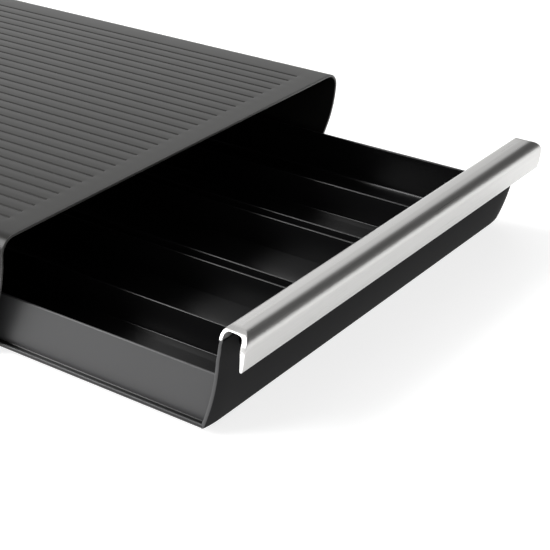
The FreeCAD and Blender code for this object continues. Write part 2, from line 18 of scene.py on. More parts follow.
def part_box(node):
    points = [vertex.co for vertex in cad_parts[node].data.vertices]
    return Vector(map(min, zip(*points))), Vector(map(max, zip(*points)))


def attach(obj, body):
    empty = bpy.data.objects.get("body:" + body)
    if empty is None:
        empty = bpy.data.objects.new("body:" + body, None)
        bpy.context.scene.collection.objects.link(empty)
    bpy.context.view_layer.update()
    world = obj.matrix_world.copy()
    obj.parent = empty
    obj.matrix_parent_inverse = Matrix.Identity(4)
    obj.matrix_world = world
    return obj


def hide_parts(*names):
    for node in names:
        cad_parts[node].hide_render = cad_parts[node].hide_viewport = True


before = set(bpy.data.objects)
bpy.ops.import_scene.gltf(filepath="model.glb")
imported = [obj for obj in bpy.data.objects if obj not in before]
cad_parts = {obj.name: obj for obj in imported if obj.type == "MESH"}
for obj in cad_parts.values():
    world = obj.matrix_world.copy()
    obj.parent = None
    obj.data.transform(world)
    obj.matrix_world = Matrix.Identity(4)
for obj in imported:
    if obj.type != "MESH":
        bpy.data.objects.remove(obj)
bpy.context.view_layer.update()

MM = 0.001
SHARP_ANGLE = math.radians(38)
GRAIN_UV = "grain"
Array = np.ndarray
Corner = tuple[float, ...]
log = logging.getLogger("drawer_unit")


class Body(Enum):
    """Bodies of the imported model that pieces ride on."""

    CASING = "casing"
    DRAWER = "drawer"


class Slot(Enum):
    """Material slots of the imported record."""

    CASING = "casing_plastic"
    DRAWER = "drawer_plastic"
    HANDLE = "handle_aluminium"
    RAIL = "rail_plastic"
    RUBBER = "rubber"
    SCREW = "screw_steel"
    TIE = "tie_steel"


class Axis(Enum):
    """Direction that a section is carried along; the value orders (a, b, along) as (x, y, z)."""

    X = (2, 0, 1)
    Y = (0, 2, 1)
    Z = (0, 1, 2)


class Side(Enum):
    """Left and right halves of the unit."""

    LEFT = -1
    RIGHT = 1


# ---- surfaces ----
def rounded(corners: Sequence[Corner], steps: int = 6, closed: bool = False) -> Array:
    """Polyline through corners, each turned by a tangent arc.

    An arc of radius r leaves the corner's two sides r / tan(h) from the corner, where h is half the angle
    between them, and its points are the spherical mean of the two radii about the arc's centre.

    Args:
        corners: (a, b) for a sharp corner or (a, b, radius) for a round one.
        steps: Pieces in each arc.
        closed: Whether the line returns to its first corner.

    Returns:
        Points of the line, one row each.
    """
    points = np.array([corner[:2] for corner in corners], float)
    line = []
    for i, corner in enumerate(corners):
        here = points[i]
        inside = closed or 0 < i < len(corners) - 1
        if len(corner) < 3 or not inside:
            line.append(here[None])
            continue
        before = points[i - 1] - here
        after = points[(i + 1) % len(points)] - here
        before /= np.linalg.norm(before)
        after /= np.linalg.norm(after)
        half = math.acos(float(np.clip(before @ after, -1, 1))) / 2
        middle = before + after
        centre = here + middle / np.linalg.norm(middle) * corner[2] / math.sin(half)
        reach = corner[2] / math.tan(half)
        start = here + before * reach - centre
        end = here + after * reach - centre
        turn = math.pi - 2 * half
        t = np.linspace(0, 1, steps + 1)[:, None]
        line.append(centre + (start * np.sin((1 - t) * turn) + end * np.sin(t * turn)) / math.sin(turn))
    return np.concatenate(line)


def oblong(low: Corner, high: Corner, radius: float, steps: int) -> Array:
    """Closed rectangle with round corners, from the lower right corner upwards.

    Args:
        low: Its corner with the lower two coordinates.
        high: Its corner with the higher two.
        radius: Radius of its corners.
        steps: Pieces in each corner's arc.

    Returns:
        Points of the outline.
    """
    (left, foot), (right, top) = low, high
    corners = [(right, foot), (right, top), (left, top), (left, foot)]
    return rounded([(*corner, radius) for corner in corners], steps, True)


def arc_through(first: Corner, middle: Corner, last: Corner, steps: int) -> Array:
    """Points of the circle through three points, from the first to the last.

    The centre is where the perpendicular bisectors of the two chords meet.

    Args:
        first: Start of the arc.
        middle: Any point on it.
        last: End of the arc.
        steps: Pieces in the arc.

    Returns:
        steps + 1 points.
    """
    a, b, c = (np.array(p, float) for p in (first, middle, last))
    sides = 2 * np.array([b - a, c - a])
    centre = np.linalg.solve(sides, [b @ b - a @ a, c @ c - a @ a])
    start, end = a - centre, c - centre
    turn = math.acos(float(start @ end / (np.linalg.norm(start) * np.linalg.norm(end))))
    t = np.linspace(0, 1, steps + 1)[:, None]
    return centre + (start * np.sin((1 - t) * turn) + end * np.sin(t * turn)) / math.sin(turn)


def refined(lines: Sequence[Array], longest: float) -> list[Array]:
    """Matched lines with their long runs cut into equal steps.

    Run i of every line is cut into the same number of steps: its length in the first line over the longest
    step allowed, rounded up. The new points are straight means of the run's ends.

    Args:
        lines: Lines with the same number of points.
        longest: Longest step left.

    Returns:
        The lines with the same new number of points each.
    """
    runs = np.linalg.norm(np.diff(lines[0], axis=0), axis=1)
    counts = np.maximum(1, np.ceil(runs / longest - 1e-6)).astype(int)
    index = np.repeat(np.arange(len(runs)), counts)
    first = np.repeat(np.cumsum(counts) - counts, counts)
    share = ((np.arange(len(index)) - first) / counts[index])[:, None]
    return [np.vstack([line[index] * (1 - share) + line[index + 1] * share, line[-1:]]) for line in lines]


def refined_loop(loop: Array, longest: float) -> Array:
    """Closed line with its long runs cut into equal steps, none longer than longest."""
    return refined([np.vstack([loop, loop[:1]])], longest)[0][:-1]


def placed(section: Array, along: Array, axis: Axis) -> Array:
    """Section points and distances along an axis as points in space.

    Args:
        section: Points (a, b) in the last dimension.
        along: Distances, of a shape that the section's broadcasts with.
        axis: What the distances are measured along.

    Returns:
        Array of points, in the last dimension.
    """
    a, b, along = np.broadcast_arrays(section[..., 0], section[..., 1], along)
    return np.stack([a, b, along], -1)[..., list(axis.value)]


def band(rows: int, columns: int, closed_rows: bool, closed_columns: bool) -> Array:
    """Four-sided faces of a grid of points.

    Args:
        rows: Number of rows.
        columns: Number of columns.
        closed_rows: Whether the last row joins the first.
        closed_columns: Whether the last column joins the first.

    Returns:
        Vertex numbers, one face a row.
    """
    r = np.arange(rows if closed_rows else rows - 1)[:, None]
    c = np.arange(columns if closed_columns else columns - 1)[None]
    r2, c2 = (r + 1) % rows, (c + 1) % columns
    faces = [r * columns + c, r * columns + c2, r2 * columns + c2, r2 * columns + c]
    return np.stack(faces, -1).reshape(-1, 4)


@dataclass
class Mesh:
    """A closed surface before it goes to Blender: points, faces, and the length round its section."""

    points: Array
    faces: list
    girth: Optional[Array] = None

    def outward(self) -> "Mesh":
        """Turns the faces outwards, so that the volume that they enclose comes out positive.

        The volume is a sum of tetrahedra to the points' mean, over triangles that fan out each face.

        Returns:
            The same mesh.
        """
        p = self.points - self.points.mean(0)
        volume = 0.0
        for size in (3, 4):
            flat = np.array([f for f in self.faces if len(f) == size])
            for k in range(1, size - 1):
                if len(flat):
                    a, b, c = p[flat[:, 0]], p[flat[:, k]], p[flat[:, k + 1]]
                    volume += float(np.einsum("ij,ij->i", a, np.cross(b, c)).sum())
        if volume < 0:
            self.faces = [list(f)[::-1] for f in self.faces]
        return self

    def moved(self, offset: Sequence[float]) -> "Mesh":
        """A copy shifted by offset."""
        return Mesh(self.points + np.array(offset), self.faces, self.girth)


def capped(rings: Array, girth: Optional[Array] = None) -> Mesh:
    """Closed surface through a stack of closed rings, each end shut by one flat face.

    Args:
        rings: Points, by ring and place on the ring.
        girth: Length round the section at each point.

    Returns:
        The surface, its faces outwards.
    """
    count, columns = rings.shape[:2]
    faces = band(count, columns, False, True).tolist()
    faces += [list(range(columns))[::-1], list(range((count - 1) * columns, count * columns))]
    return Mesh(rings.reshape(-1, 3), faces, girth).outward()


def merged(parts: Sequence[Mesh]) -> Mesh:
    """Several surfaces as one mesh, their vertex numbers shifted past each other's.

    Args:
        parts: The surfaces.

    Returns:
        One mesh that holds them all.
    """
    points, faces, start = [], [], 0
    for part in parts:
        points.append(part.points)
        faces += [[int(v) + start for v in f] for f in part.faces]
        start += len(part.points)
    return Mesh(np.concatenate(points), faces)


def wall(outer: Array, inner: Array, low: Array, high: Array, axis: Axis, rows: Sequence[float] = (0, 1),
         lip: float = 0.4 * MM, relief: Optional[Callable[[Array], Array]] = None) -> Mesh:
    """Thin wall: two matched section lines carried along an axis, with rounded lips at both ends.

    With m the mean of the two lines and h half their difference, a point is m + h w on the outer face and
    m - h w on the inner one. w is 1 between the lips, and on a lip w and the distance from the end follow
    the squarish curve |sin| ** p, 1 - |cos| ** p of one angle.

    Args:
        outer: Outer section line.
        inner: Inner section line, with as many points.
        low: Lower end along the axis, one for all points or one each.
        high: Higher end along the axis.
        axis: Direction that the section is carried along.
        rows: Places of the rows between the lips, from 0 to 1.
        lip: Depth of the rounding at each end.
        relief: Takes the outer face's points and returns them with their pattern.

    Returns:
        Closed surface.
    """
    lip_rows, power = 4, 0.6
    angle = (np.arange(lip_rows) + 0.5) / lip_rows * math.pi / 2
    lip_width = np.sin(angle) ** power
    lip_back = lip * (1 - np.cos(angle) ** power)
    rows = np.asarray(rows, float)
    width = np.concatenate([lip_width, np.ones(len(rows)), lip_width[::-1]])[:, None, None]
    low = np.broadcast_to(low, len(outer))[None]
    high = np.broadcast_to(high, len(outer))[None]
    inside = low + lip + (high - low - 2 * lip) * rows[:, None]
    along = np.concatenate([low + lip_back[:, None], inside, high - lip_back[::-1, None]])
    mean, half = (outer + inner) / 2, (outer - inner) / 2
    outside = placed(mean + half * width, along, axis)
    if relief is not None:
        outside = relief(outside)
    within = placed(mean - half * width, along, axis)
    grid = np.concatenate([outside, within[::-1]])
    count, columns = grid.shape[:2]
    faces = band(count, columns, True, False).tolist()
    i = np.arange(count // 2 - 1)
    lit_ends = np.stack([i, i + 1, count - 2 - i, count - 1 - i], -1) * columns
    faces += lit_ends[:, ::-1].tolist()
    faces += (lit_ends + columns - 1).tolist()
    run = np.concatenate([[0], np.cumsum(np.linalg.norm(np.diff(outer, axis=0), axis=1))])
    return Mesh(grid.reshape(-1, 3), faces, np.tile(run, count)).outward()


def bar(loop: Array, low: Array, high: Array, axis: Axis, soft: float = 0.3 * MM) -> Mesh:
    """Closed section carried along an axis, drawn in a little at both ends so that no end edge is sharp.

    The end rings follow a quarter circle: at angle t the ring is soft (1 - cos t) from its full place
    inwards along each point's own normal, and soft (1 - sin t) short of the end.

    Args:
        loop: Closed section line.
        low: Lower end along the axis, one for all points or one each.
        high: Higher end along the axis.
        axis: Direction that the section is carried along.
        soft: Radius of the end edges.

    Returns:
        Closed surface.
    """
    forward = np.roll(loop, -1, 0) - loop
    forward /= np.linalg.norm(forward, axis=1)[:, None] + 1e-12
    both = forward + np.roll(forward, 1, 0)
    both /= np.linalg.norm(both, axis=1)[:, None] + 1e-12
    area = float(np.cross(loop, np.roll(loop, -1, 0)).sum())
    inward = np.stack([-both[:, 1], both[:, 0]], -1) * math.copysign(1, area)
    angle = np.linspace(0, math.pi / 2, 4)
    shrink = soft * (1 - np.cos(angle))
    short = soft * (1 - np.sin(angle))
    low = np.broadcast_to(low, len(loop))
    high = np.broadcast_to(high, len(loop))
    rings = [placed(loop + inward * s, low + b, axis) for s, b in zip(shrink[::-1], short[::-1])]
    rings += [placed(loop + inward * s, high - b, axis) for s, b in zip(shrink, short)]
    run = np.concatenate([[0], np.cumsum(np.linalg.norm(np.diff(loop, axis=0), axis=1))])
    return capped(np.stack(rings), np.tile(run, len(rings)))


def turned(profile: Array, foot: Sequence[float], axis: Axis, sign: float = 1.0, steps: int = 32,
           dent: Optional[Callable[[Array, Array], Array]] = None) -> Mesh:
    """Profile of (radius, height) points turned about an axis through foot.

    A point is (r cos a, r sin a) across the axis and sign times its height along it. Points of radius zero
    keep a hair of radius, and their ring is closed by one flat face.

    Args:
        profile: Points from one pole to the other.
        foot: Where height is zero.
        axis: Axis of turning.
        sign: Which way height grows along the axis.
        steps: Points in each ring.
        dent: Takes the points' two cross coordinates and returns how far each sinks along the axis.

    Returns:
        Closed surface.
    """
    angle = np.linspace(0, 2 * math.pi, steps, endpoint=False)
    radius = np.maximum(profile[:, :1], 1e-5)
    across = np.stack([radius * np.cos(angle), radius * np.sin(angle)], -1)
    height = np.repeat(profile[:, 1:2], steps, 1)
    if dent is not None:
        height = height - dent(across[..., 0], across[..., 1]) * (height > height.max() * 0.3)
    grid = placed(across, sign * height, axis) + np.array(foot)
    return capped(grid)


def carried(path: Array, section: Array, axis: Axis, level: float) -> Mesh:
    """Section carried round a closed flat path, as a raised bead.

    A point is the path's point plus the section's first coordinate along the path's outward normal, and the
    section's second coordinate is its height over level.

    Args:
        path: Closed flat path.
        section: Closed section of (across, height) points.
        axis: What the path is square to.
        level: Place along the axis where height is zero.

    Returns:
        Closed ring.
    """
    forward = np.roll(path, -1, 0) - np.roll(path, 1, 0)
    forward /= np.linalg.norm(forward, axis=1)[:, None]
    normal = np.stack([forward[:, 1], -forward[:, 0]], -1)
    flat = path[:, None] + normal[:, None] * section[None, :, :1]
    grid = placed(flat, level + section[None, :, 1], axis)
    faces = band(len(path), len(section), True, True).tolist()
    return Mesh(grid.reshape(-1, 3), faces).outward()


def flipped(mesh: Mesh, side: Side) -> Mesh:
    """The right-hand mesh, or its mirror image in X for the left, with its faces turned outwards again."""
    return Mesh(mesh.points * np.array([side.value, 1, 1]), mesh.faces, mesh.girth).outward()


def piece(name: str, mesh: Mesh, finish: "Finish", body: Body, nodes: Sequence[str] = (),
          zone: Optional[tuple["Finish", Callable[[Array], Array]]] = None) -> bpy.types.Object:
    """Puts a mesh into Blender as a piece of the unit.

    Args:
        name: Name of the piece.
        mesh: Its surface.
        finish: What it is made of.
        body: Body that it rides on.
        nodes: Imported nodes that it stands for.
        zone: A second finish, and the test that picks its faces by their middles.

    Returns:
        The new object, at the origin.
    """
    data = bpy.data.meshes.new(name)
    data.from_pydata(mesh.points.tolist(), [], mesh.faces)
    data.update()
    data.shade_smooth()
    data.set_sharp_from_angle(angle=SHARP_ANGLE)
    corner_vertex = np.zeros(len(data.loops), np.int32)
    data.loops.foreach_get("vertex_index", corner_vertex)
    girth = mesh.girth if mesh.girth is not None else mesh.points[:, 1] + mesh.points[:, 2]
    uv = np.stack([mesh.points[:, 0], girth], -1)[corner_vertex]
    data.uv_layers.new(name=GRAIN_UV).data.foreach_set("uv", uv.astype(np.float32).ravel())
    obj = bpy.data.objects.new(name, data)
    bpy.context.scene.collection.objects.link(obj)
    data.materials.append(finish.material())
    if zone:
        data.materials.append(zone[0].material())
        middles = np.zeros(len(data.polygons) * 3, np.float32)
        data.polygons.foreach_get("center", middles)
        data.polygons.foreach_set("material_index", zone[1](middles.reshape(-1, 3)).astype(np.int32))
    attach(obj, body.value)
    if nodes:
        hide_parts(*nodes)
    log.info("%s: %d faces", name, len(mesh.faces))
    return obj


# ---- finishes ----
class Nodes:
    """Short forms for building a node tree."""

    def __init__(self, tree: bpy.types.NodeTree) -> None:
        """Keeps the tree."""
        self.tree = tree

    def feed(self, node: bpy.types.Node, inputs: dict) -> None:
        """Sets or links a node's inputs.

        Args:
            node: The node.
            inputs: Value or output socket for each input, by name or number.
        """
        for key, value in inputs.items():
            if isinstance(value, bpy.types.NodeSocket):
                self.tree.links.new(value, node.inputs[key])
            else:
                node.inputs[key].default_value = value

    def add(self, kind: str, inputs: Optional[dict] = None, **settings: object) -> bpy.types.Node:
        """Adds a node, sets its properties, then feeds its inputs.

        Args:
            kind: Blender's node type.
            inputs: Value or output socket for each input, by name or number.
            settings: Properties of the node.

        Returns:
            The node.
        """
        node = self.tree.nodes.new(kind)
        for key, value in settings.items():
            setattr(node, key, value)
        self.feed(node, inputs or {})
        return node

    def maths(self, operation: str, a: object, b: object = 0.0, clamp: bool = False) -> bpy.types.NodeSocket:
        """A Math node's result."""
        return self.add("ShaderNodeMath", {0: a, 1: b}, operation=operation, use_clamp=clamp).outputs[0]

    def vectors(self, operation: str, inputs: dict) -> bpy.types.NodeSocket:
        """A Vector Math node's vector result."""
        return self.add("ShaderNodeVectorMath", inputs, operation=operation).outputs[0]

    def noise(self, where: object, scale: object, detail: float = 2.0) -> bpy.types.NodeSocket:
        """A Noise node's grey value."""
        inputs = {"Vector": where, "Scale": scale, "Detail": detail}
        return self.add("ShaderNodeTexNoise", inputs).outputs[0]

    def stretched(self, where: object, scale: Sequence[float]) -> bpy.types.NodeSocket:
        """Coordinates scaled apart on each axis."""
        return self.add("ShaderNodeMapping", {"Vector": where, "Scale": scale}).outputs[0]


PATTERN_INPUTS = {"Base": (0.5, 0.5, 0.5, 1.0), "Gloss": 0.4, "Scale": 1.0, "Depth": 0.1, "Drift": 0.1,
                  "Marks": 0.1}
PATTERN_OUTPUTS = {"Color": "NodeSocketColor", "Roughness": "NodeSocketFloat", "Normal": "NodeSocketVector"}


@dataclass(frozen=True)
class Finish:
    """Base of every finish: colour, gloss and the pattern that breaks them up."""

    name: str
    colour: tuple[float, float, float]
    gloss: float
    metallic: float = 0.0
    specular: float = 0.5
    scale: float = 2200.0
    depth: float = 0.05
    drift: float = 0.1
    marks: float = 0.05
    pattern_name: ClassVar[str]
    bump_distance: ClassVar[float]

    def pattern(self, n: Nodes, given: dict) -> Sequence[bpy.types.NodeSocket]:
        """Tint and wear, both about zero, and height, as grey values in the pattern group."""
        raise NotImplementedError

    def shader_settings(self, n: Nodes) -> dict:
        """Inputs of the Principled BSDF that only this kind of finish sets: none unless it says so."""
        return {}

    def group(self) -> bpy.types.NodeTree:
        """The pattern as a shader node group, built once for each kind of finish.

        Colour is Base (1 + Drift tint), roughness is Gloss + Marks wear, and the bump is Depth times height.

        Returns:
            Group with the inputs PATTERN_INPUTS and the outputs PATTERN_OUTPUTS.
        """
        if self.pattern_name in bpy.data.node_groups:
            return bpy.data.node_groups[self.pattern_name]
        tree = bpy.data.node_groups.new(self.pattern_name, "ShaderNodeTree")
        tree.interface.new_socket("Vector", in_out="INPUT", socket_type="NodeSocketVector")
        for label, value in PATTERN_INPUTS.items():
            kind = "NodeSocketFloat" if isinstance(value, float) else "NodeSocketColor"
            tree.interface.new_socket(label, in_out="INPUT", socket_type=kind).default_value = value
        for label, kind in PATTERN_OUTPUTS.items():
            tree.interface.new_socket(label, in_out="OUTPUT", socket_type=kind)
        n, given = Nodes(tree), tree.nodes.new("NodeGroupInput").outputs
        tint, wear, height = self.pattern(n, given)
        tone = n.maths("ADD", n.maths("MULTIPLY", tint, given["Drift"]), 1.0)
        marks = n.maths("MULTIPLY", wear, given["Marks"])
        relief = {"Strength": given["Depth"], "Distance": self.bump_distance, "Height": height}
        n.add("NodeGroupOutput", {
            "Color": n.vectors("MULTIPLY", {0: given["Base"], 1: tone}),
            "Roughness": n.maths("ADD", given["Gloss"], marks, clamp=True),
            "Normal": n.add("ShaderNodeBump", relief).outputs[0],
        })
        return tree

    def material(self) -> bpy.types.Material:
        """The finish as a material, built once.

        Returns:
            Material whose colour, roughness and normal come from the pattern group.
        """
        if self.name in bpy.data.materials:
            return bpy.data.materials[self.name]
        made = bpy.data.materials.new(self.name)
        made.use_nodes = True
        n = Nodes(made.node_tree)
        values = {"Vector": n.add("ShaderNodeTexCoord").outputs["Object"], "Base": (*self.colour, 1.0),
                  "Gloss": self.gloss, "Scale": self.scale, "Depth": self.depth, "Drift": self.drift,
                  "Marks": self.marks}
        look = n.add("ShaderNodeGroup", values, node_tree=self.group()).outputs
        shader = made.node_tree.nodes["Principled BSDF"]
        n.feed(shader, {"Base Color": look["Color"], "Roughness": look["Roughness"],
                        "Normal": look["Normal"], "Metallic": self.metallic,
                        "Specular IOR Level": self.specular})
        n.feed(shader, self.shader_settings(n))
        return made


@dataclass(frozen=True)
class Moulded(Finish):
    """Injection-moulded plastic or rubber, spark-eroded to a fine grain."""

    pattern_name: ClassVar[str] = "Moulded grain"
    bump_distance: ClassVar[float] = 0.2 * MM

    def pattern(self, n: Nodes, given: dict) -> Sequence[bpy.types.NodeSocket]:
        """Slow drift of tone, streaky handling marks, and fine noise for height.

        Args:
            n: The group's node builder.
            given: The group's inputs by name.

        Returns:
            Tint, wear and height.
        """
        where = given["Vector"]
        tint = n.maths("SUBTRACT", n.noise(where, 18.0, 3.0), 0.5)
        streaks = n.noise(n.stretched(where, (14.0, 45.0, 45.0)), 1.0, 4.0)
        return tint, n.maths("SUBTRACT", streaks, 0.5), n.noise(where, given["Scale"])


@dataclass(frozen=True)
class Brushed(Finish):
    """Metal brushed along X by a belt, with a highlight drawn out across the brushing."""

    metallic: float = 1.0
    stretch: float = 0.7
    pattern_name: ClassVar[str] = "Brushed streaks"
    bump_distance: ClassVar[float] = 0.05 * MM

    def pattern(self, n: Nodes, given: dict) -> Sequence[bpy.types.NodeSocket]:
        """Hairline and broader streaks: noise squeezed to a few cycles along X and thousands across it.

        Args:
            n: The group's node builder.
            given: The group's inputs by name.

        Returns:
            Both streaks as tint and as wear, and the hairlines as height.
        """
        spot = n.vectors("SCALE", {0: given["Vector"], "Scale": given["Scale"]})
        hair = n.noise(n.stretched(spot, (22.0, 3400.0, 3400.0)), 1.0, 3.0)
        broad = n.noise(n.stretched(spot, (9.0, 520.0, 520.0)), 1.0)
        both = n.maths("ADD", n.maths("MULTIPLY", hair, 0.6), n.maths("MULTIPLY", broad, 0.4))
        centred = n.maths("SUBTRACT", both, 0.5)
        return centred, centred, hair

    def shader_settings(self, n: Nodes) -> dict:
        """Anisotropic highlight, turned a quarter from the length that the UV map's U runs along."""
        tangent = n.add("ShaderNodeTangent", None, direction_type="UV_MAP", uv_map=GRAIN_UV).outputs[0]
        return {"Anisotropic": self.stretch, "Anisotropic Rotation": 0.25, "Tangent": tangent}


CASING_BLACK = Moulded("Casing black", (0.0145, 0.0141, 0.0132), 0.31, specular=0.185, scale=1500.0,
                       depth=0.06)
# Painted highlight: a lighter copy of the casing plastic on the rim of the swept front edge, standing in for
# the thin bright line of light along that edge.
CASING_EDGE_HIGHLIGHT = Moulded("Casing edge", (0.08, 0.079, 0.077), 0.4, scale=1500.0, depth=0.06)
DRAWER_BLACK = Moulded("Drawer black", (0.0045, 0.0045, 0.0047), 0.26, specular=0.4, scale=2400.0,
                       depth=0.03)
# Painted light: a lighter, glossier copy of the drawer plastic for the tray's outer side walls, their ledge
# rims and the front panel's end faces, standing in for light falling on them from the left; on the rims it is
# a painted highlight.
DRAWER_PAINTED_LIGHT = Moulded("Drawer satin", (0.036, 0.036, 0.037), 0.38, scale=2400.0, depth=0.03)
FRONT_BLACK = Moulded("Front black", (0.023, 0.023, 0.0235), 0.4, specular=0.004, depth=0.03)
DIVIDER_BLACK = Moulded("Divider black", (0.004, 0.004, 0.0042), 0.26, specular=0.4, depth=0.03)
RAIL_GREY = Moulded("Rail grey", (0.05, 0.05, 0.052), 0.32, depth=0.02)
RUBBER_BLACK = Moulded("Rubber black", (0.012, 0.012, 0.012), 0.75, specular=0.3, scale=900.0, depth=0.2)
HANDLE_ALUMINIUM = Brushed("Brushed aluminium", (0.61, 0.605, 0.595), 0.31, scale=1.0, depth=0.14,
                           drift=0.35, marks=0.25)
CUT_ALUMINIUM = Brushed("Cut aluminium", (0.93, 0.93, 0.92), 0.4, scale=1.0, drift=0.05, stretch=0.0)
SCREW_ZINC = Brushed("Zinc screw", (0.62, 0.62, 0.6), 0.34, scale=2.0, depth=0.08, drift=0.15, stretch=0.0)
TIE_ZINC = Brushed("Zinc strip", (0.58, 0.59, 0.6), 0.4, scale=0.5, depth=0.1, drift=0.35, marks=0.3,
                   stretch=0.4)


# ---- casing ----
@dataclass
class Casing:
    """Wrap-round casing: shell with grooved deck, its ribs and posts, rear panel, feet and buffers.

    The tuples of steps and rows are in millimetres, from a groove's middle, from a groove's end and from the
    casing's edge.
    """

    thick: float = 1.6 * MM
    flange_thick: float = 1.4 * MM
    flange_reach: float = 14.5 * MM
    flange_soft: float = 0.35 * MM
    corner: float = 10 * MM
    foot_corner: float = 1 * MM
    sweep_radius: float = 110 * MM
    sweep_drop: float = 40 * MM
    groove_count: int = 29
    pitch: float = 9.5 * MM
    border: float = 17 * MM
    groove_half: float = 1.35 * MM
    groove_depth: float = 0.6 * MM
    crown: float = 0.16 * MM
    crown_fade: float = 3 * MM
    longest_run: float = 3.6 * MM
    column_steps: tuple[float, ...] = (0, 0.25, 0.5, 0.75, 1.0, 1.25, 1.5, 2.1, 3.2)
    rows_at_groove_end: tuple[float, ...] = (-3, -2.2, -1.6, -1.2, -0.8, -0.4, 0, 0.6, 2)
    rows_from_edge: tuple[float, ...] = (0, 3, 8, 20, 60, 110)
    # Depth of the front edge's rim that carries the painted highlight.
    lip: float = 0.3 * MM
    highlight_rim_depth: float = 0.25 * MM
    rib_thick: float = 1.6 * MM
    rib_drop: float = 3 * MM
    cross_ribs: tuple[float, float, int] = (50 * MM, 60 * MM, 5)
    cross_rib_half: float = 140 * MM
    long_rib_x: float = 52 * MM
    rib_soft: float = 0.35 * MM
    boss_x: float = 151.4 * MM
    boss_half: float = 3.5 * MM
    boss_length: float = 14 * MM
    boss_heights: tuple[float, float] = (26 * MM, 62 * MM)
    sunk: float = 0.2 * MM
    bead_half_width: float = 128.5 * MM
    bead_levels: tuple[float, float] = (15.5 * MM, 64.5 * MM)
    bead_radius: float = 5 * MM
    bead_section: tuple[float, float, float] = (1.5 * MM, 0.8 * MM, 0.3 * MM)
    tread_soft: float = 0.5 * MM
    low: Vector = field(default_factory=lambda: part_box("casing_shell")[0])
    high: Vector = field(default_factory=lambda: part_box("casing_shell")[1])

    def edge_back(self, z: Array) -> Array:
        """How far behind the deck's edge the swept front edge lies at height z.

        Down to the sweep's drop it is a circle that leaves the deck square on, R - sqrt(R^2 - d^2) at
        depth d, and below that the straight line that leaves the circle.

        Args:
            z: Heights.

        Returns:
            Distances, positive to the back.
        """
        depth = np.clip(self.high.z - z, 0, None)
        on_arc = np.minimum(depth, self.sweep_drop)
        root = np.sqrt(self.sweep_radius ** 2 - on_arc ** 2)
        slope = self.sweep_drop / math.sqrt(self.sweep_radius ** 2 - self.sweep_drop ** 2)
        return self.sweep_radius - root + (depth - on_arc) * slope

    def section_lines(self) -> list[Array]:
        """Outer and inner lines of the wrap-round section, from right to left.

        Returns:
            The two lines, matched point for point.
        """
        x, z, t = self.high.x, self.high.z, self.thick
        tip, foot, shelf = x - self.flange_reach, self.low.z, self.low.z + self.flange_thick
        middle = (foot + shelf) / 2
        small = self.flange_soft
        outer = [(tip, middle), (tip, foot, small), (x, foot, self.foot_corner), (x, z, self.corner)]
        inner = [(tip, middle), (tip, shelf, small), (x - t, shelf, small), (x - t, z - t, self.corner - t)]
        both = []
        for half in (outer, inner):
            line = half + [(-c[0],) + tuple(c[1:]) for c in reversed(half)]
            both.append(rounded(line, steps=10))
        return refined(both, self.longest_run)

    def deck_columns(self, lines: list[Array]) -> list[Array]:
        """Section lines with the deck's flat run given columns that crowd round each groove.

        Args:
            lines: Outer and inner section lines.

        Returns:
            Both lines with the new columns between their corners.
        """
        outer, inner = lines
        flat = self.high.x - self.corner
        on_deck = (np.abs(outer[:, 0]) < flat - 1e-6) & (outer[:, 1] > self.high.z - 1e-6)
        steps = np.array(self.column_steps) * MM
        ring = np.concatenate([-steps[:0:-1], steps])
        centres = (np.arange(self.groove_count) - (self.groove_count - 1) / 2) * self.pitch
        x = np.sort((centres[:, None] + ring[None]).ravel())
        x = np.concatenate([x, (centres[1:] + centres[:-1]) / 2])
        x = -np.sort(-np.unique(np.round(x, 7)))
        first = int(np.argmax(on_deck))
        after = len(outer) - int(np.argmax(on_deck[::-1]))
        made = []
        for line, z in ((outer, self.high.z), (inner, self.high.z - self.thick)):
            deck = np.stack([x, np.full(len(x), z)], -1)
            made.append(np.vstack([line[:first], deck, line[after:]]))
        return made

    def grooved(self, points: Array) -> Array:
        """Sinks the grooves into the deck.

        With r the distance to the nearest groove's centre line, a groove is depth (1 + cos(pi r / half)) / 2
        deep, and the land between two grooves is crowned by crown (1 + cos(2 pi x / pitch)) / 2, which fades
        out past the grooves' ends.

        Args:
            points: Points of the casing's outer face.

        Returns:
            The points, lowered where they lie on the deck.
        """
        x, y, z = points[..., 0], points[..., 1], points[..., 2]
        reach = (self.groove_count - 1) / 2 * self.pitch
        centre = np.clip(np.round(x / self.pitch) * self.pitch, -reach, reach)
        across = np.abs(x - centre)
        beyond = np.maximum(self.low.y + self.border - y, y - (self.high.y - self.border))
        end = np.maximum(beyond, 0)
        distance = np.hypot(across, end)
        groove = self.groove_depth / 2 * (1 + np.cos(np.pi * np.minimum(distance / self.groove_half, 1)))
        fade = np.clip(1 - end / self.crown_fade, 0, 1)
        land = self.crown / 2 * (1 + np.cos(2 * np.pi * np.minimum(across / self.pitch, 0.5))) * fade
        on_deck = (np.abs(x) < self.high.x - self.corner) & (z > self.high.z - self.thick / 4)
        sunk = np.where(on_deck, np.maximum(groove, land), 0)
        return np.stack([x, y, z - sunk], -1)

    def deck_rows(self) -> Array:
        """Rows along the casing, crowded round the grooves' two ends.

        Returns:
            Places from 0 at the front to 1 at the back.
        """
        length = self.high.y - self.low.y
        near = self.border + np.array(self.rows_at_groove_end) * MM
        plain = np.array(self.rows_from_edge) * MM
        front = np.sort(np.concatenate([near, plain])) / length
        return np.concatenate([front, [0.5], 1 - front[::-1]])

    def shell(self) -> Mesh:
        """Folded shell with its swept front edge and grooved deck.

        Returns:
            Closed surface.
        """
        outer, inner = self.deck_columns(self.section_lines())
        back = self.edge_back((outer[:, 1] + inner[:, 1]) / 2)
        back[np.abs(outer[:, 1] - self.high.z) < 1e-6] = 0.0
        return wall(outer, inner, self.low.y + back, np.full(len(outer), self.high.y), Axis.Y,
                    rows=self.deck_rows(), lip=self.lip, relief=self.grooved)

    def on_edge_highlight(self, middles: Array) -> Array:
        """Whether each middle lies on the rim of the swept front edge, where a lighter finish paints the
        edge's highlight.
        """
        return middles[:, 1] < self.low.y + self.edge_back(middles[:, 2]) + self.highlight_rim_depth

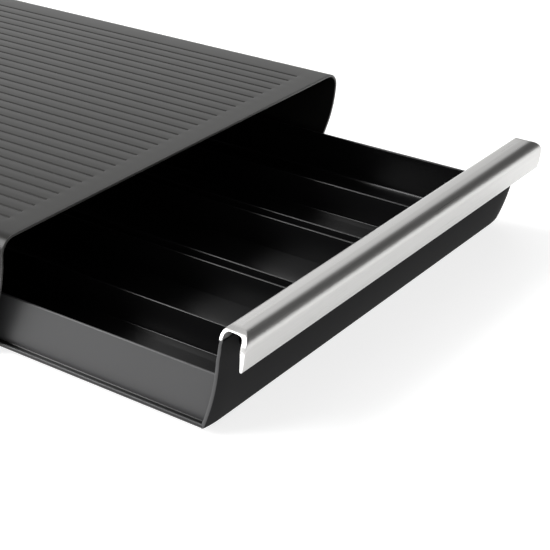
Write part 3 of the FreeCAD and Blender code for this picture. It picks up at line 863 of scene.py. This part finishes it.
    def ribs(self) -> Mesh:
        """Cross and long ribs under the deck, each drawn in by draft towards its free edge.

        Returns:
            All the ribs as one mesh, their roots sunk into the deck.
        """
        top = self.high.z - self.thick + self.sunk
        low = top - self.sunk - self.rib_drop
        half, soft = self.rib_thick / 2, self.rib_soft
        profile = [(-half, top), (-half * 0.8, low, soft), (half * 0.8, low, soft), (half, top)]
        section = rounded(profile, 3, True)
        first, pitch, count = self.cross_ribs
        first_y = self.low.y + first
        last_y = first_y + (count - 1) * pitch
        reach, end_soft = self.cross_rib_half, 0.2 * MM
        cross = [section + [first_y + i * pitch + half, 0] for i in range(count)]
        parts = [bar(place, -reach, reach, Axis.X, end_soft) for place in cross]
        for side in Side:
            place = section + [side.value * self.long_rib_x, 0]
            parts.append(bar(place, first_y, last_y, Axis.Y, end_soft))
        return merged(parts)

    def bosses(self) -> Mesh:
        """Posts on the side walls that take the rear panel's screws.

        Returns:
            All the posts as one mesh, sunk into the walls.
        """
        x, half, round_edge, gap = self.boss_x, self.boss_half, 1 * MM, 0.05 * MM
        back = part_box("rear_panel")[0].y
        wall_x = self.high.x - self.thick + self.sunk
        parts = []
        for side in Side:
            for z in self.boss_heights:
                corners = [(x - half, z - half, round_edge), (wall_x, z - half), (wall_x, z + half),
                           (x - half, z + half, round_edge)]
                loop = rounded(corners, 4, True)
                post = bar(loop, back - self.boss_length, back - gap, Axis.Y, 0.4 * MM)
                parts.append(flipped(post, side))
        return merged(parts)

    def rear_panel(self) -> Mesh:
        """Plate that closes the back, with a half-round bead carried round its face.

        Returns:
            Plate and bead as one mesh.
        """
        low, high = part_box("rear_panel")
        corner = self.corner - self.thick
        half_width, height, sunk = self.bead_section
        plate_back = high.y - height
        loop = [(high.x, low.z), (high.x, high.z, corner), (low.x, high.z, corner), (low.x, low.z)]
        outline = refined_loop(rounded(loop, 8, True), 12 * MM)
        plate = bar(outline, low.y, plate_back, Axis.Y, 0.35 * MM)
        half, radius, (foot, top) = self.bead_half_width, self.bead_radius, self.bead_levels
        path = oblong((-half, foot), (half, top), radius, 6)
        angle = np.linspace(0, math.pi, 9)
        section = np.stack([half_width * np.cos(angle), height * np.sin(angle)], -1)
        section = np.vstack([section, [[-half_width, -sunk], [half_width, -sunk]]])
        return merged([plate, carried(path, section, Axis.Y, plate_back)])

    def foot(self, node: str) -> Mesh:
        """Rubber pad: a stadium outline whose rings draw in over a rounded tread edge.

        Ring s of the height is drawn in by soft (1 - sqrt(1 - (1 - s / 0.3)^2)) up to s = 0.3.

        Args:
            node: Packed foot that gives the box.

        Returns:
            Closed surface.
        """
        low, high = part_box(node)
        middle = (low + high) / 2
        radius = (high.x - low.x) / 2
        straight = (high.y - low.y) / 2 - radius
        angle = np.linspace(0, 2 * math.pi, 48, endpoint=False)
        level = np.array([0, 0.04, 0.12, 0.3, 0.6, 1.0])
        draw = self.tread_soft * (1 - np.sqrt(1 - (1 - np.minimum(level / 0.3, 1)) ** 2))
        rings = []
        for inset, share in zip(draw, level):
            x = middle.x + (radius - inset) * np.cos(angle)
            y = middle.y + (radius - inset) * np.sin(angle) + straight * np.sign(np.sin(angle))
            rings.append(placed(np.stack([x, y], -1), low.z + share * (high.z - low.z), Axis.Z))
        return capped(np.stack(rings))

    def buffer(self, node: str) -> Mesh:
        """Rubber buffer: pad, waist through the panel and button behind it, turned about one axis.

        Args:
            node: Packed bumper that gives the box.

        Returns:
            Closed surface.
        """
        low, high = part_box(node)
        middle = (low + high) / 2
        radius = (high.x - low.x) / 2
        length = high.y - low.y
        button, waist, panel, button_thick = 3 * MM, 2 * MM, 2 * MM, 1.2 * MM
        pad_end = length - button_thick - panel
        pad = [(0, 0), (radius, 0, 1.6 * MM), (radius, pad_end, 0.3 * MM), (waist, pad_end)]
        behind = pad_end + panel
        head = [(waist, behind), (button, behind, 0.3 * MM), (button, length, 0.8 * MM), (0, length)]
        return turned(rounded(pad + head, 5), (middle.x, low.y, middle.z), Axis.Y)

    def build(self) -> None:
        """Makes every casing piece."""
        body, slot = Body.CASING, Slot.CASING
        # Painted highlight: the front edge's rim gets the lighter edge finish.
        edge_highlight = (CASING_EDGE_HIGHLIGHT, self.on_edge_highlight)
        piece("casing_cover", self.shell(), CASING_BLACK, body, ["casing_shell"], edge_highlight)
        piece("casing_ribs", self.ribs(), CASING_BLACK, body)
        piece("casing_posts", self.bosses(), CASING_BLACK, body)
        piece("rear_closing_panel", self.rear_panel(), CASING_BLACK, body, ["rear_panel"])
        for side in Side:
            name = side.name.lower()
            buffer = self.buffer("closing_bumper_" + name)
            piece("buffer_" + name, buffer, RUBBER_BLACK, body, ["closing_bumper_" + name])
            for end in ("front", "rear"):
                node = f"foot_{end}_{name}"
                piece(f"pad_{end}_{name}", self.foot(node), RUBBER_BLACK, body, [node])


# ---- drawer front ----
@dataclass
class DrawerFront:
    """Swept front panel and the hook handle that caps it."""

    thick: float = 2 * MM
    corner: float = 10 * MM
    height: float = 61.4 * MM
    plate: float = 1.85 * MM
    roll: float = 1.4 * MM
    roll_length: float = 16 * MM
    roll_fade: float = 12 * MM
    panel_soft: float = 0.45 * MM
    panel_lip: float = 0.5 * MM
    handle_lip: float = 0.3 * MM
    # Depth of the panel's end faces that carry painted light.
    lit_end_depth: float = 0.25 * MM
    cut_depth: float = 0.12 * MM
    strip_thick: float = 1.8 * MM
    foot_setback: float = 11.4 * MM
    face_arc: tuple[Corner, Corner, Corner] = ((1.4 * MM, 0), (-7.5 * MM, 26 * MM), (-11.4 * MM, 55.2 * MM))
    boss_radius: float = 3.5 * MM
    boss_length: float = 11 * MM
    boss_end: float = 5.95 * MM
    boss_z: float = 12 * MM
    low: Vector = field(default_factory=lambda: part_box("front_panel")[0])
    high: Vector = field(default_factory=lambda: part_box("front_panel")[1])

    def foot_y(self) -> float:
        """Place along Y that the drawer's own distances are measured from."""
        return self.low.y + self.foot_setback

    def section(self, corners: Sequence[Corner]) -> list[Corner]:
        """Corners in the drawer's own distances moved to the unit's frame."""
        return [(c[0] + self.foot_y(), c[1] + self.low.z) + tuple(c[2:]) for c in corners]

    def half_width(self, z: Array) -> Array:
        """Half the front's width at height z: full up to the top corners, then round, sqrt(r^2 - h^2)."""
        over = np.clip(z - (self.low.z + self.height - self.corner), 0, self.corner)
        return self.high.x - self.corner + np.sqrt(self.corner ** 2 - over ** 2)

    def face(self, steps: int) -> Array:
        """The panel's face in section, one arc from its foot to its top."""
        return arc_through(*self.face_arc, steps) + [self.foot_y(), self.low.z]

    def panel(self) -> Mesh:
        """Curved plate whose face is one arc, rolled back a little towards its two ends.

        The roll is roll s^3, where s grows from 0 to 1 over the last stretch before each end.

        Returns:
            Closed surface.
        """
        face = self.face(28)
        back = face + [self.thick, 0]
        soft = self.panel_soft
        lines = []
        for line in (face, back):
            foot, top = (face[0] + back[0]) / 2, (face[-1] + back[-1]) / 2
            between = [tuple(point) for point in line[1:-1]]
            corners = [tuple(foot), (*line[0], soft), *between, (*line[-1], soft), tuple(top)]
            lines.append(rounded(corners, 4))
        half = self.half_width((lines[0][:, 1] + lines[1][:, 1]) / 2)
        stretch = self.roll_length / (2 * self.high.x)
        near = np.linspace(0, 1, 11) ** 1.2 * stretch
        rows = np.concatenate([near, np.linspace(stretch, 1 - stretch, 14)[1:-1], 1 - near[::-1]])
        mesh = wall(lines[0], lines[1], -half, half, Axis.X, rows=rows, lip=self.panel_lip)
        x, z = mesh.points[:, 0], mesh.points[:, 2]
        s = np.clip((np.abs(x) - (self.high.x - self.roll_length)) / self.roll_length, 0, 1)
        fade = np.clip((self.high.z - z) / self.roll_fade, 0, 1)
        mesh.points[:, 1] += self.roll * s ** 3 * fade
        return mesh

    def handle(self) -> Mesh:
        """Hook profile of even thickness: up the panel's top, over, and down in front of it.

        The ends follow the front's round top corners: each point moves to its own height's half width.

        Returns:
            Closed surface.
        """
        top, under = self.height / MM, (self.height - self.plate) / MM
        seat, tip = 55.2, 41.4
        outer = [(-9.9, seat), (-8.9, seat, 0.3), (-8.9, top, 3.4), (-16.5, top, 12), (-26.4, 60.7, 6),
                 (-24.2, 46, 10), (-23, tip, 0.7), (-22.2, tip)]
        inner = [(-9.9, seat), (-10.9, seat, 0.3), (-10.9, under, 2), (-16.5, under, 12),
                 (-22.2, 58.95, 2.8), (-21.86, 48, 10), (-21.4, tip, 0.6), (-22.2, tip)]
        lines = []
        for line in (outer, inner):
            in_metres = [tuple(value * MM for value in corner) for corner in line]
            lines.append(rounded(self.section(in_metres), 8))
        lines = refined(lines, 2.2 * MM)
        lit_ends = [self.half_width(line[:, 1]) for line in lines]
        half = (lit_ends[0] + lit_ends[1]) / 2
        rows = np.concatenate([[0, 0.004, 0.012, 0.03, 0.06], np.linspace(0.1, 0.9, 17),
                               [0.94, 0.97, 0.988, 0.996, 1]])
        mesh = wall(lines[0], lines[1], -half, half, Axis.X, rows=rows, lip=self.handle_lip)
        x, z = mesh.points[:, 0], mesh.points[:, 2]
        lean = self.half_width(z) - np.tile(half, len(z) // len(half))
        share = np.clip((np.abs(x) - (self.high.x - 1.6 * self.corner)) / (0.4 * self.corner), 0, 1)
        mesh.points[:, 0] += np.sign(x) * lean * share
        return mesh

    def back_y(self, z: Array) -> Array:
        """Where the panel's back is at height z."""
        face = self.face(40)
        return np.interp(z, face[:, 1], face[:, 0]) + self.thick

    def bosses(self) -> Mesh:
        """Posts behind the panel that its screws go into, their front ends sunk in the plate.

        Returns:
            All the posts as one mesh.
        """
        radius, length, soft = self.boss_radius, self.boss_length, 0.4 * MM
        profile = rounded([(0, 0), (radius, 0, soft), (radius, length, soft), (0, length)], 3)
        y, z = self.foot_y() + self.boss_end, self.low.z + self.boss_z
        mesh = merged([turned(profile, (x * MM, y, z), Axis.Y, -1) for x in (-118, -65, 0, 65, 118)])
        mesh.points[:, 1] = np.maximum(mesh.points[:, 1], self.back_y(mesh.points[:, 2]) - 0.8 * MM)
        return mesh

    def carrier(self) -> Mesh:
        """Angle strip inside the hook.

        Returns:
            Closed surface.
        """
        low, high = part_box("handle_carrier")
        t = self.strip_thick
        loop = rounded([(high.y, low.z, 0.3 * MM), (high.y, high.z, 2 * MM), (low.y, high.z, 0.3 * MM),
                        (low.y, high.z - t, 0.6 * MM), (high.y - t, high.z - t, 0.8 * MM),
                        (high.y - t, low.z, 0.6 * MM)], 4, True)
        return bar(loop, low.x, high.x, Axis.X, 0.4 * MM)

    def build(self) -> None:
        """Makes the panel, the handle and the strip that joins them."""
        body = Body.DRAWER
        front = merged([self.panel(), self.bosses()])
        # Painted light: the panel's end faces get the lighter drawer finish.
        lit_ends = (DRAWER_PAINTED_LIGHT, lambda p: abs(p[:, 0]) > self.half_width(p[:, 2]) - self.lit_end_depth)
        piece("drawer_front", front, FRONT_BLACK, body, ["front_panel"], lit_ends)
        cut = (CUT_ALUMINIUM, lambda p: abs(p[:, 0]) > self.high.x - self.cut_depth)
        piece("hook_handle", self.handle(), HANDLE_ALUMINIUM, body, ["handle"], cut)
        piece("handle_strip", self.carrier(), DRAWER_BLACK, body, ["handle_carrier"])


# ---- tray ----
@dataclass
class Tray:
    """Tray with leaning walls and side ledges, and the dividers that stand in it."""

    wall_thick: float = 1.6 * MM
    height: float = 30.2 * MM
    floor: float = 1.8 * MM
    foot_x: float = 147.1 * MM
    top_x: float = 144.5 * MM
    ledge: float = 1.5 * MM
    rim_width: float = 1.1 * MM
    rim_height: float = 2.25 * MM
    front_wall: tuple[float, float] = (6 * MM, 20 * MM)
    blade: float = 1.4 * MM
    base: float = 0.4 * MM
    ramp: float = 4 * MM
    low: Vector = field(default_factory=lambda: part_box("tray")[0])
    high: Vector = field(default_factory=lambda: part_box("tray")[1])

    def lean(self) -> float:
        """How far the side walls lean in for each metre of height."""
        return (self.foot_x - self.top_x) / (self.height - self.ledge)

    def section(self) -> Array:
        """Closed section of floor, walls, ledges and rims, its walls cut into short runs.

        Returns:
            Points (x, z).
        """
        x, rise, lean = self.high.x, self.height, self.lean()
        inner_foot = self.foot_x - (self.floor - self.ledge) * lean - self.wall_thick
        half = [
            (x, 0, 0.4 * MM), (x, self.rim_height, 0.4 * MM),
            (x - self.rim_width, self.rim_height, 0.3 * MM), (x - self.rim_width, self.ledge, 0.25 * MM),
            (self.foot_x, self.ledge, 0.5 * MM),
            (self.top_x, rise, 0.6 * MM), (self.top_x - self.wall_thick, rise, 0.6 * MM),
            (inner_foot, self.floor, 2.2 * MM),
        ]
        corners = half + [(-c[0],) + tuple(c[1:]) for c in reversed(half)]
        loop = rounded(corners, 5, True) + [0, self.low.z]
        return refined_loop(loop, 5 * MM)

    def leaning_plate(self, height: float, drop: float, y: tuple[float, float]) -> Mesh:
        """Cross wall between the side walls, with a rounded top edge.

        Args:
            height: Top of the wall over the drawer's underside.
            drop: How far the wall's ends stop short of the side walls' outer faces.
            y: Front and back faces.

        Returns:
            Closed surface.
        """
        foot = self.foot_x - drop
        top = self.foot_x - (height - self.ledge) * self.lean() - drop
        soft = 0.4 * MM
        loop = [(foot, soft), (top, height, soft), (-top, height, soft), (-foot, soft)]
        loop = rounded(loop, 3, True) + [0, self.low.z]
        return bar(loop, y[0], y[1], Axis.Y, 0.5 * MM)

    def body(self, front: DrawerFront) -> Mesh:
        """Floor, side walls and ledges in one, with the front and back walls and the coves along them.

        Args:
            front: Drawer front, whose back the tray's front end follows.

        Returns:
            All of it as one mesh.
        """
        section = self.section()
        start = front.back_y(section[:, 1]) + 0.02 * MM
        y, rise = front.foot_y() + self.front_wall[0], self.front_wall[1]
        back_y = self.high.y - self.wall_thick
        cross = [
            self.leaning_plate(rise, self.wall_thick / 2, (y, y + self.wall_thick)),
            self.leaning_plate(self.height, 0.3 * MM, (back_y, self.high.y - 0.02 * MM)),
        ]
        reach = self.top_x - self.wall_thick
        coves = [self.cove(y + self.wall_thick, 1, reach), self.cove(back_y, -1, reach)]
        return merged([bar(section, start, self.high.y, Axis.Y, 0.4 * MM)] + cross + coves)

    def cove(self, y: float, way: int, reach: float) -> Mesh:
        """Hollow fillet where a cross wall meets the floor: a quarter circle about a point over the floor.

        Args:
            y: The wall's inner face.
            way: 1 when the floor lies behind the wall, -1 when it lies in front.
            reach: Half its length.

        Returns:
            Closed surface, sunk a little into the wall and the floor.
        """
        radius, sunk = 2 * MM, 0.3 * MM
        angle = np.linspace(math.pi, 1.5 * math.pi, 9)
        z = self.low.z + self.floor
        curve = np.stack([radius + radius * np.cos(angle), radius + radius * np.sin(angle)], -1)
        curve = np.vstack([curve, [[radius, -sunk], [-sunk, -sunk], [-sunk, radius]]])
        loop = np.stack([y + way * curve[:, 0], z + curve[:, 1]], -1)
        return bar(loop, -reach, reach, Axis.X, 0.1 * MM)

    def on_painted_lit_flank(self, middles: Array) -> Array:
        """Whether each middle lies on the outer side of a side wall or on its ledge's rim, the faces that
        carry painted light and the rim's painted highlight.

        Args:
            middles: Middles of the tray's faces.

        Returns:
            True or false for each.
        """
        x, rise = abs(middles[:, 0]), middles[:, 2] - self.low.z
        outer = self.foot_x - (rise - self.ledge) * self.lean()
        on_wall = (x > outer - self.wall_thick / 2) & (rise > self.ledge + 0.35 * MM)
        return np.where(x > self.high.x - self.rim_width, rise > self.ledge, on_wall & (x < self.foot_x))

    def divider(self, node: str, blades: Sequence[float]) -> Mesh:
        """Flat base, its free edges ramped down, with round-topped upright blades filleted at their feet.

        Args:
            node: Packed divider that gives the base's edges and the length.
            blades: Middle of each blade.

        Returns:
            Closed surface.
        """
        low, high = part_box(node)
        foot = self.low.z + self.floor
        base, top = foot + self.base, high.z
        half = self.blade / 2
        corners: list[Corner] = [(low.x, foot), (high.x, foot)]
        for x in sorted(blades, reverse=True):
            if corners[-1][0] - x > 2 * half:
                ramp = [(high.x - self.ramp, base, 2 * MM)] if len(corners) == 2 else []
                corners += ramp + [(x + half, base, 0.6 * MM)]
            corners += [(x + half * 0.9, top, 0.55 * MM), (x - half * 0.9, top, 0.55 * MM)]
            if x - low.x > 2 * half:
                corners.append((x - half, base, 0.6 * MM))
        if corners[-1][1] == base:
            corners.append((low.x + self.ramp, base, 2 * MM))
        loop = rounded(corners, 4, True)
        return bar(loop, low.y, high.y, Axis.Y, 0.3 * MM)

    def build(self, front: DrawerFront) -> None:
        """Makes the tray and its four dividers.

        Args:
            front: Drawer front that the tray meets.
        """
        body, slot, half = Body.DRAWER, Slot.DRAWER, self.blade / 2
        # Painted light: the tray's outer flanks and ledge rims get the lighter drawer finish.
        lit_flank = (DRAWER_PAINTED_LIGHT, self.on_painted_lit_flank)
        piece("drawer_tray", self.body(front), DRAWER_BLACK, body, ["tray"], lit_flank)
        for side in Side:
            name = side.name.lower()
            single, channel = "divider_" + name, "divider_channel_" + name
            low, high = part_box(single)
            mesh = self.divider(single, [(low.x + high.x) / 2])
            piece("lane_blade_" + name, mesh, DIVIDER_BLACK, body, [single])
            low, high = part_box(channel)
            mesh = self.divider(channel, [low.x + half, high.x - half])
            piece("lane_channel_" + name, mesh, DIVIDER_BLACK, body, [channel])


# ---- runners ----
@dataclass
class Runners:
    """What carries the drawer: rails, tie strips, stops and lugs."""

    gap: float = 0.4 * MM
    web: float = 3 * MM
    cap: float = 1.5 * MM
    shelf_reach: float = 1.5 * MM
    tie_corner: float = 2 * MM

    def rail(self) -> Mesh:
        """Right-hand C section whose lower shelf carries the tray's ledge and whose cap keeps it down.

        Returns:
            Closed surface.
        """
        low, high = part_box("runner_rail_right")
        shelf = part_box("tray")[0].z - self.gap
        under_cap = high.z - self.cap
        tip, web = low.x + self.shelf_reach, high.x - self.web
        loop = [(low.x, low.z), (high.x, low.z), (high.x, high.z, 0.3 * MM), (tip, high.z, 0.5 * MM),
                (tip, under_cap, 0.5 * MM), (web, under_cap, 0.3 * MM), (web, shelf, 0.2 * MM),
                (low.x, shelf, 0.4 * MM)]
        return bar(rounded(loop, 4, True), low.y, high.y, Axis.Y, 0.5 * MM)

    def tie(self, node: str) -> Mesh:
        """Flat strip with round corners and softened edges.

        Args:
            node: Packed tie that gives the box.

        Returns:
            Closed surface.
        """
        low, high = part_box(node)
        loop = oblong((low.x, low.y), (high.x, high.y), self.tie_corner, 6)
        return bar(loop, low.z, high.z, Axis.Z, 0.15 * MM)

    def block(self, node: str, corner: float) -> Mesh:
        """Small moulded block with rounded edges all round.

        Args:
            node: Packed block that gives its box.
            corner: Radius of the edges along Y.

        Returns:
            Closed surface.
        """
        low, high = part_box(node)
        loop = oblong((low.x, low.z), (high.x, high.z), corner, 4)
        return bar(loop, low.y, high.y, Axis.Y, 0.5 * MM)

    def build(self) -> None:
        """Makes the rails, ties, stops and lugs."""
        for side in Side:
            name = side.name.lower()
            rail = flipped(self.rail(), side)
            piece("slide_rail_" + name, rail, RAIL_GREY, Body.CASING, ["runner_rail_" + name])
            stop = self.block("front_stop_" + name, 0.5 * MM)
            piece("stop_block_" + name, stop, RAIL_GREY, Body.CASING, ["front_stop_" + name])
            lug = self.block("stop_lug_" + name, 0.8 * MM)
            piece("tray_lug_" + name, lug, RAIL_GREY, Body.DRAWER, ["stop_lug_" + name])
        for end in ("front", "rear"):
            node = end + "_tie"
            piece("tie_strip_" + end, self.tie(node), TIE_ZINC, Body.CASING, [node])


# ---- fasteners ----
class Head(Enum):
    """Kinds of screw head."""

    PAN = "pan"
    FLUSH = "flush"


@dataclass(frozen=True)
class Screw:
    """A cross-recessed screw, its shank's tip at height 0 and its head on top."""

    radius: float
    head_radius: float
    head_height: float
    length: float = 0.0
    head: Head = Head.PAN

    def recess(self, a: Array, b: Array) -> Array:
        """Depth of the cross recess: two crossed slots with soft edges, half the head deep.

        Args:
            a: First coordinate across the screw.
            b: Second coordinate.

        Returns:
            The larger of the two slots' depths at each point.
        """
        soft = 0.12 * self.head_radius
        width, reach = 0.17 * self.head_radius, 0.6 * self.head_radius

        def slot(u: Array, v: Array) -> Array:
            """One slot along v."""
            inside = np.clip((width - abs(u)) / soft + 0.5, 0, 1)
            return inside * np.clip((reach - abs(v)) / soft + 0.5, 0, 1)

        return 0.5 * self.head_height * np.maximum(slot(a, b), slot(b, a))

    def profile(self) -> Array:
        """Outline from the tip over the shank and head to the middle of the head's top.

        Returns:
            Points (radius, height), with rings across the head's top for the recess.
        """
        under, top = self.length - self.head_height, self.length
        r, head = self.radius, self.head_radius
        corners: list[Corner] = [(0, 0), (r, 0.6 * r), (r, under)]
        if self.head is Head.PAN:
            corners += [(head, under), (head, top, 0.6 * self.head_height)]
        else:
            corners.append((head, top, 0.1 * self.head_height))
        face = [(head * share, top) for share in (0.62, 0.5, 0.38, 0.26, 0.14, 0)]
        return rounded(corners + face, 4)

    def mesh(self, tip: Sequence[float], axis: Axis, sign: float) -> Mesh:
        """The screw with its tip at a point and its head towards sign along the axis."""
        return turned(self.profile(), tip, axis, sign, 32, self.recess)


SMALL = Screw(1.1 * MM, 2.1 * MM, 1.1 * MM)

# Places across a group of screws: the share of the way from its first head to its last, and a shift.
MIDDLE = ((0.5, 0.0),)
ENDS = ((0.0, 0.0), (1.0, 0.0))


@dataclass
class Fasteners:
    """Every screw of the unit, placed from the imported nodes' boxes."""

    inner_x: float = 65 * MM
    carrier_x: float = 60 * MM
    tie_step: float = 14 * MM
    lug_length: float = 7.2 * MM

    def grid(self, node: str, screw: Screw, axis: Axis, places: Sequence[tuple[float, float]],
             inner: Optional[float] = None, sign: int = 1) -> Mesh:
        """Screws side by side in X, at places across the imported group's box.

        Args:
            node: Packed screws that give the box; its length along the axis is the screws' length.
            screw: Their sizes.
            axis: Direction of the screws, Y or Z.
            places: Share of the way from the first head to the last, and a shift, for each place.
            inner: Distance from the middle of the second and fourth of five in X; without it there are two.
            sign: Which way the heads look.

        Returns:
            All of them as one mesh.
        """
        low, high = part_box(node)
        along, across = (1, 2) if axis is Axis.Y else (2, 1)
        screw = replace(screw, length=high[along] - low[along])
        end = high.x - screw.head_radius
        columns = (-end, end) if inner is None else (-end, -inner, 0, inner, end)
        span = high[across] - low[across] - 2 * screw.head_radius
        parts = []
        for x in columns:
            for share, shift in places:
                tip = [x, 0.0, 0.0]
                tip[along] = (low if sign > 0 else high)[along]
                tip[across] = low[across] + screw.head_radius + share * span + shift
                parts.append(screw.mesh(tip, axis, sign))
        return merged(parts)

    def lugs(self) -> Mesh:
        """Screws that hold the tray's lugs, driven outwards from inside the tray.

        Returns:
            Both as one mesh.
        """
        low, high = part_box("lug_screws")
        screw = replace(SMALL, length=self.lug_length)
        middle = (low + high) / 2
        places = [(side, (side.value * high.x, middle.y, middle.z)) for side in Side]
        return merged([screw.mesh(tip, Axis.X, -side.value) for side, tip in places])

    def build(self) -> None:
        """Makes the screws, one piece for each packed group."""
        big = Screw(1.3 * MM, 3 * MM, 1.7 * MM)
        rear = Screw(1.3 * MM, 2.8 * MM, 1.5 * MM)
        flush = Screw(1.1 * MM, 2.1 * MM, 0.9 * MM, head=Head.FLUSH)
        tie = Screw(1.1 * MM, 1.9 * MM, 0.8 * MM, head=Head.FLUSH)
        thirds = ((0.0, 0.0), *MIDDLE, (1.0, 0.0))
        fours = ((0.0, 0.0), (0.0, self.tie_step), (1.0, -self.tie_step), (1.0, 0.0))
        rows = [
            ("rear_panel_screws", Body.CASING, (rear, Axis.Y, ENDS)),
            ("panel_screws", Body.DRAWER, (big, Axis.Y, MIDDLE, self.inner_x)),
            ("handle_screws", Body.DRAWER, (SMALL, Axis.Z, MIDDLE, self.carrier_x, -1)),
            ("carrier_screws", Body.DRAWER, (SMALL, Axis.Y, MIDDLE, self.carrier_x)),
            ("lug_screws", Body.DRAWER, None),
            ("stop_screws", Body.CASING, (SMALL, Axis.Z, MIDDLE)),
            ("rail_screws", Body.CASING, (flush, Axis.Z, thirds)),
            ("tie_screws", Body.CASING, (tie, Axis.Z, fours)),
        ]
        for node, body, how in rows:
            mesh = self.grid(node, *how) if how else self.lugs()
            piece("cross_" + node, mesh, SCREW_ZINC, body, [node])


# ---- studio ----
@dataclass
class Studio:
    """Pale lit floor, soft light from the back and the left, a dim front, and the camera.

    Each lobe of light is its middle direction, the cosines where it starts and is full, and its strength.
    """

    eye: tuple[float, float, float] = (-0.64505, -0.6342, 0.4266)
    forward: tuple[float, float, float] = (0.7113, 0.5297, -0.462)
    roll: float = -0.78
    lens: float = 99.81
    sensor: float = 36.0
    floor_half: float = 6.0
    floor_tone: float = 0.4
    floor_drift: float = 0.01
    floor_glow: float = 0.8
    ambient: float = 0.1
    lobes: ClassVar[list] = [
        ((0.578, 0.688, 0.438), 0.78, 1.0, 1.12),
        ((-0.94, 0.1, 0.33), 0.4, 0.95, 0.7),
        ((-0.498, 0.637, 0.588), 0.88, 0.985, 12.5),
    ]

    def camera(self) -> None:
        """Camera at the eye, looking forward, rolled a little about its own axis."""
        data = bpy.data.cameras.new("camera")
        data.lens, data.sensor_width = self.lens, self.sensor
        data.clip_start, data.clip_end = 0.01, 50.0
        obj = bpy.data.objects.new("camera", data)
        look = Vector(self.forward).to_track_quat("-Z", "Y").to_matrix()
        turn = look @ Matrix.Rotation(math.radians(self.roll), 3, "Z")
        obj.matrix_world = Matrix.Translation(self.eye) @ turn.to_4x4()
        bpy.context.scene.collection.objects.link(obj)
        bpy.context.scene.camera = obj

    def floor(self) -> None:
        """Large pale floor whose tone drifts very slightly."""
        size = self.floor_half
        data = bpy.data.meshes.new("floor")
        corners = [(-size, -size, 0), (size, -size, 0), (size, size, 0), (-size, size, 0)]
        data.from_pydata(corners, [], [(0, 1, 2, 3)])
        obj = bpy.data.objects.new("floor", data)
        bpy.context.scene.collection.objects.link(obj)
        made = bpy.data.materials.new("Pale floor")
        made.use_nodes = True
        n = Nodes(made.node_tree)
        slow = n.noise(n.add("ShaderNodeTexCoord").outputs["Object"], 1.5)
        tone = n.maths("ADD", n.maths("MULTIPLY", slow, self.floor_drift), self.floor_tone)
        grey = n.add("ShaderNodeCombineColor", {0: tone, 1: tone, 2: tone}).outputs[0]
        n.feed(made.node_tree.nodes["Principled BSDF"], {
            "Base Color": grey, "Roughness": 0.9, "Specular IOR Level": 0.1,
            "Emission Color": (1, 1, 1, 1), "Emission Strength": self.floor_glow,
        })
        data.materials.append(made)

    def world(self) -> None:
        """Surroundings whose brightness depends on direction.

        It is a dim level plus three smooth lobes, each a smoothstep of the direction's cosine with the
        lobe's middle: behind to the right, broadly to the left, and a bright patch behind to the left. What
        the camera sees past the floor is white.
        """
        made = bpy.data.worlds.new("studio")
        bpy.context.scene.world = made
        made.use_nodes = True
        n = Nodes(made.node_tree)
        where = n.add("ShaderNodeTexCoord").outputs["Generated"]
        total: object = self.ambient
        for middle, start, end, strength in self.lobes:
            near = n.add("ShaderNodeVectorMath", {0: where, 1: middle}, operation="DOT_PRODUCT")
            ramp = {"Value": near.outputs["Value"], "From Min": start, "From Max": end, "To Max": strength}
            lobe = n.add("ShaderNodeMapRange", ramp, interpolation_type="SMOOTHSTEP").outputs[0]
            total = n.maths("ADD", total, lobe)
        seen = n.add("ShaderNodeLightPath").outputs["Is Camera Ray"]
        level = n.maths("MULTIPLY", total, n.maths("SUBTRACT", 1.0, seen))
        background = {"Color": (1, 1, 1, 1), "Strength": n.maths("ADD", level, seen)}
        n.feed(made.node_tree.nodes["Background"], background)

    def softbox(self, name: str, size: float, place: tuple[float, float, float], power: float) -> None:
        """Square area light that looks at the middle of the unit.

        Args:
            name: Name of the light.
            size: Side of the square.
            place: Where it hangs.
            power: Its power in watts.
        """
        data = bpy.data.lights.new(name, "AREA")
        data.shape, data.size, data.energy = "SQUARE", size, power
        obj = bpy.data.objects.new(name, data)
        aim = Vector((0, -0.1, 0.03)) - Vector(place)
        obj.matrix_world = Matrix.Translation(place) @ aim.to_track_quat("-Z", "Y").to_matrix().to_4x4()
        obj.visible_camera = False
        bpy.context.scene.collection.objects.link(obj)

    def build(self) -> None:
        """Makes the camera, floor and light, and shows colours as they are."""
        self.camera()
        self.floor()
        self.world()
        self.softbox("overhead softbox", 1.6, (-0.2, 0.3, 1.9), 5.0)
        bpy.context.scene.view_settings.view_transform = "Standard"


def main() -> None:
    """Builds the unit's classes in order, then the studio."""
    logging.basicConfig(level=logging.INFO, format="%(name)s %(message)s")
    log.info("%d packed nodes to dress", len(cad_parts))
    front = DrawerFront()
    Casing().build()
    front.build()
    Tray().build(front)
    Runners().build()
    Fasteners().build()
    Studio().build()


if __name__ == "__main__":
    main()
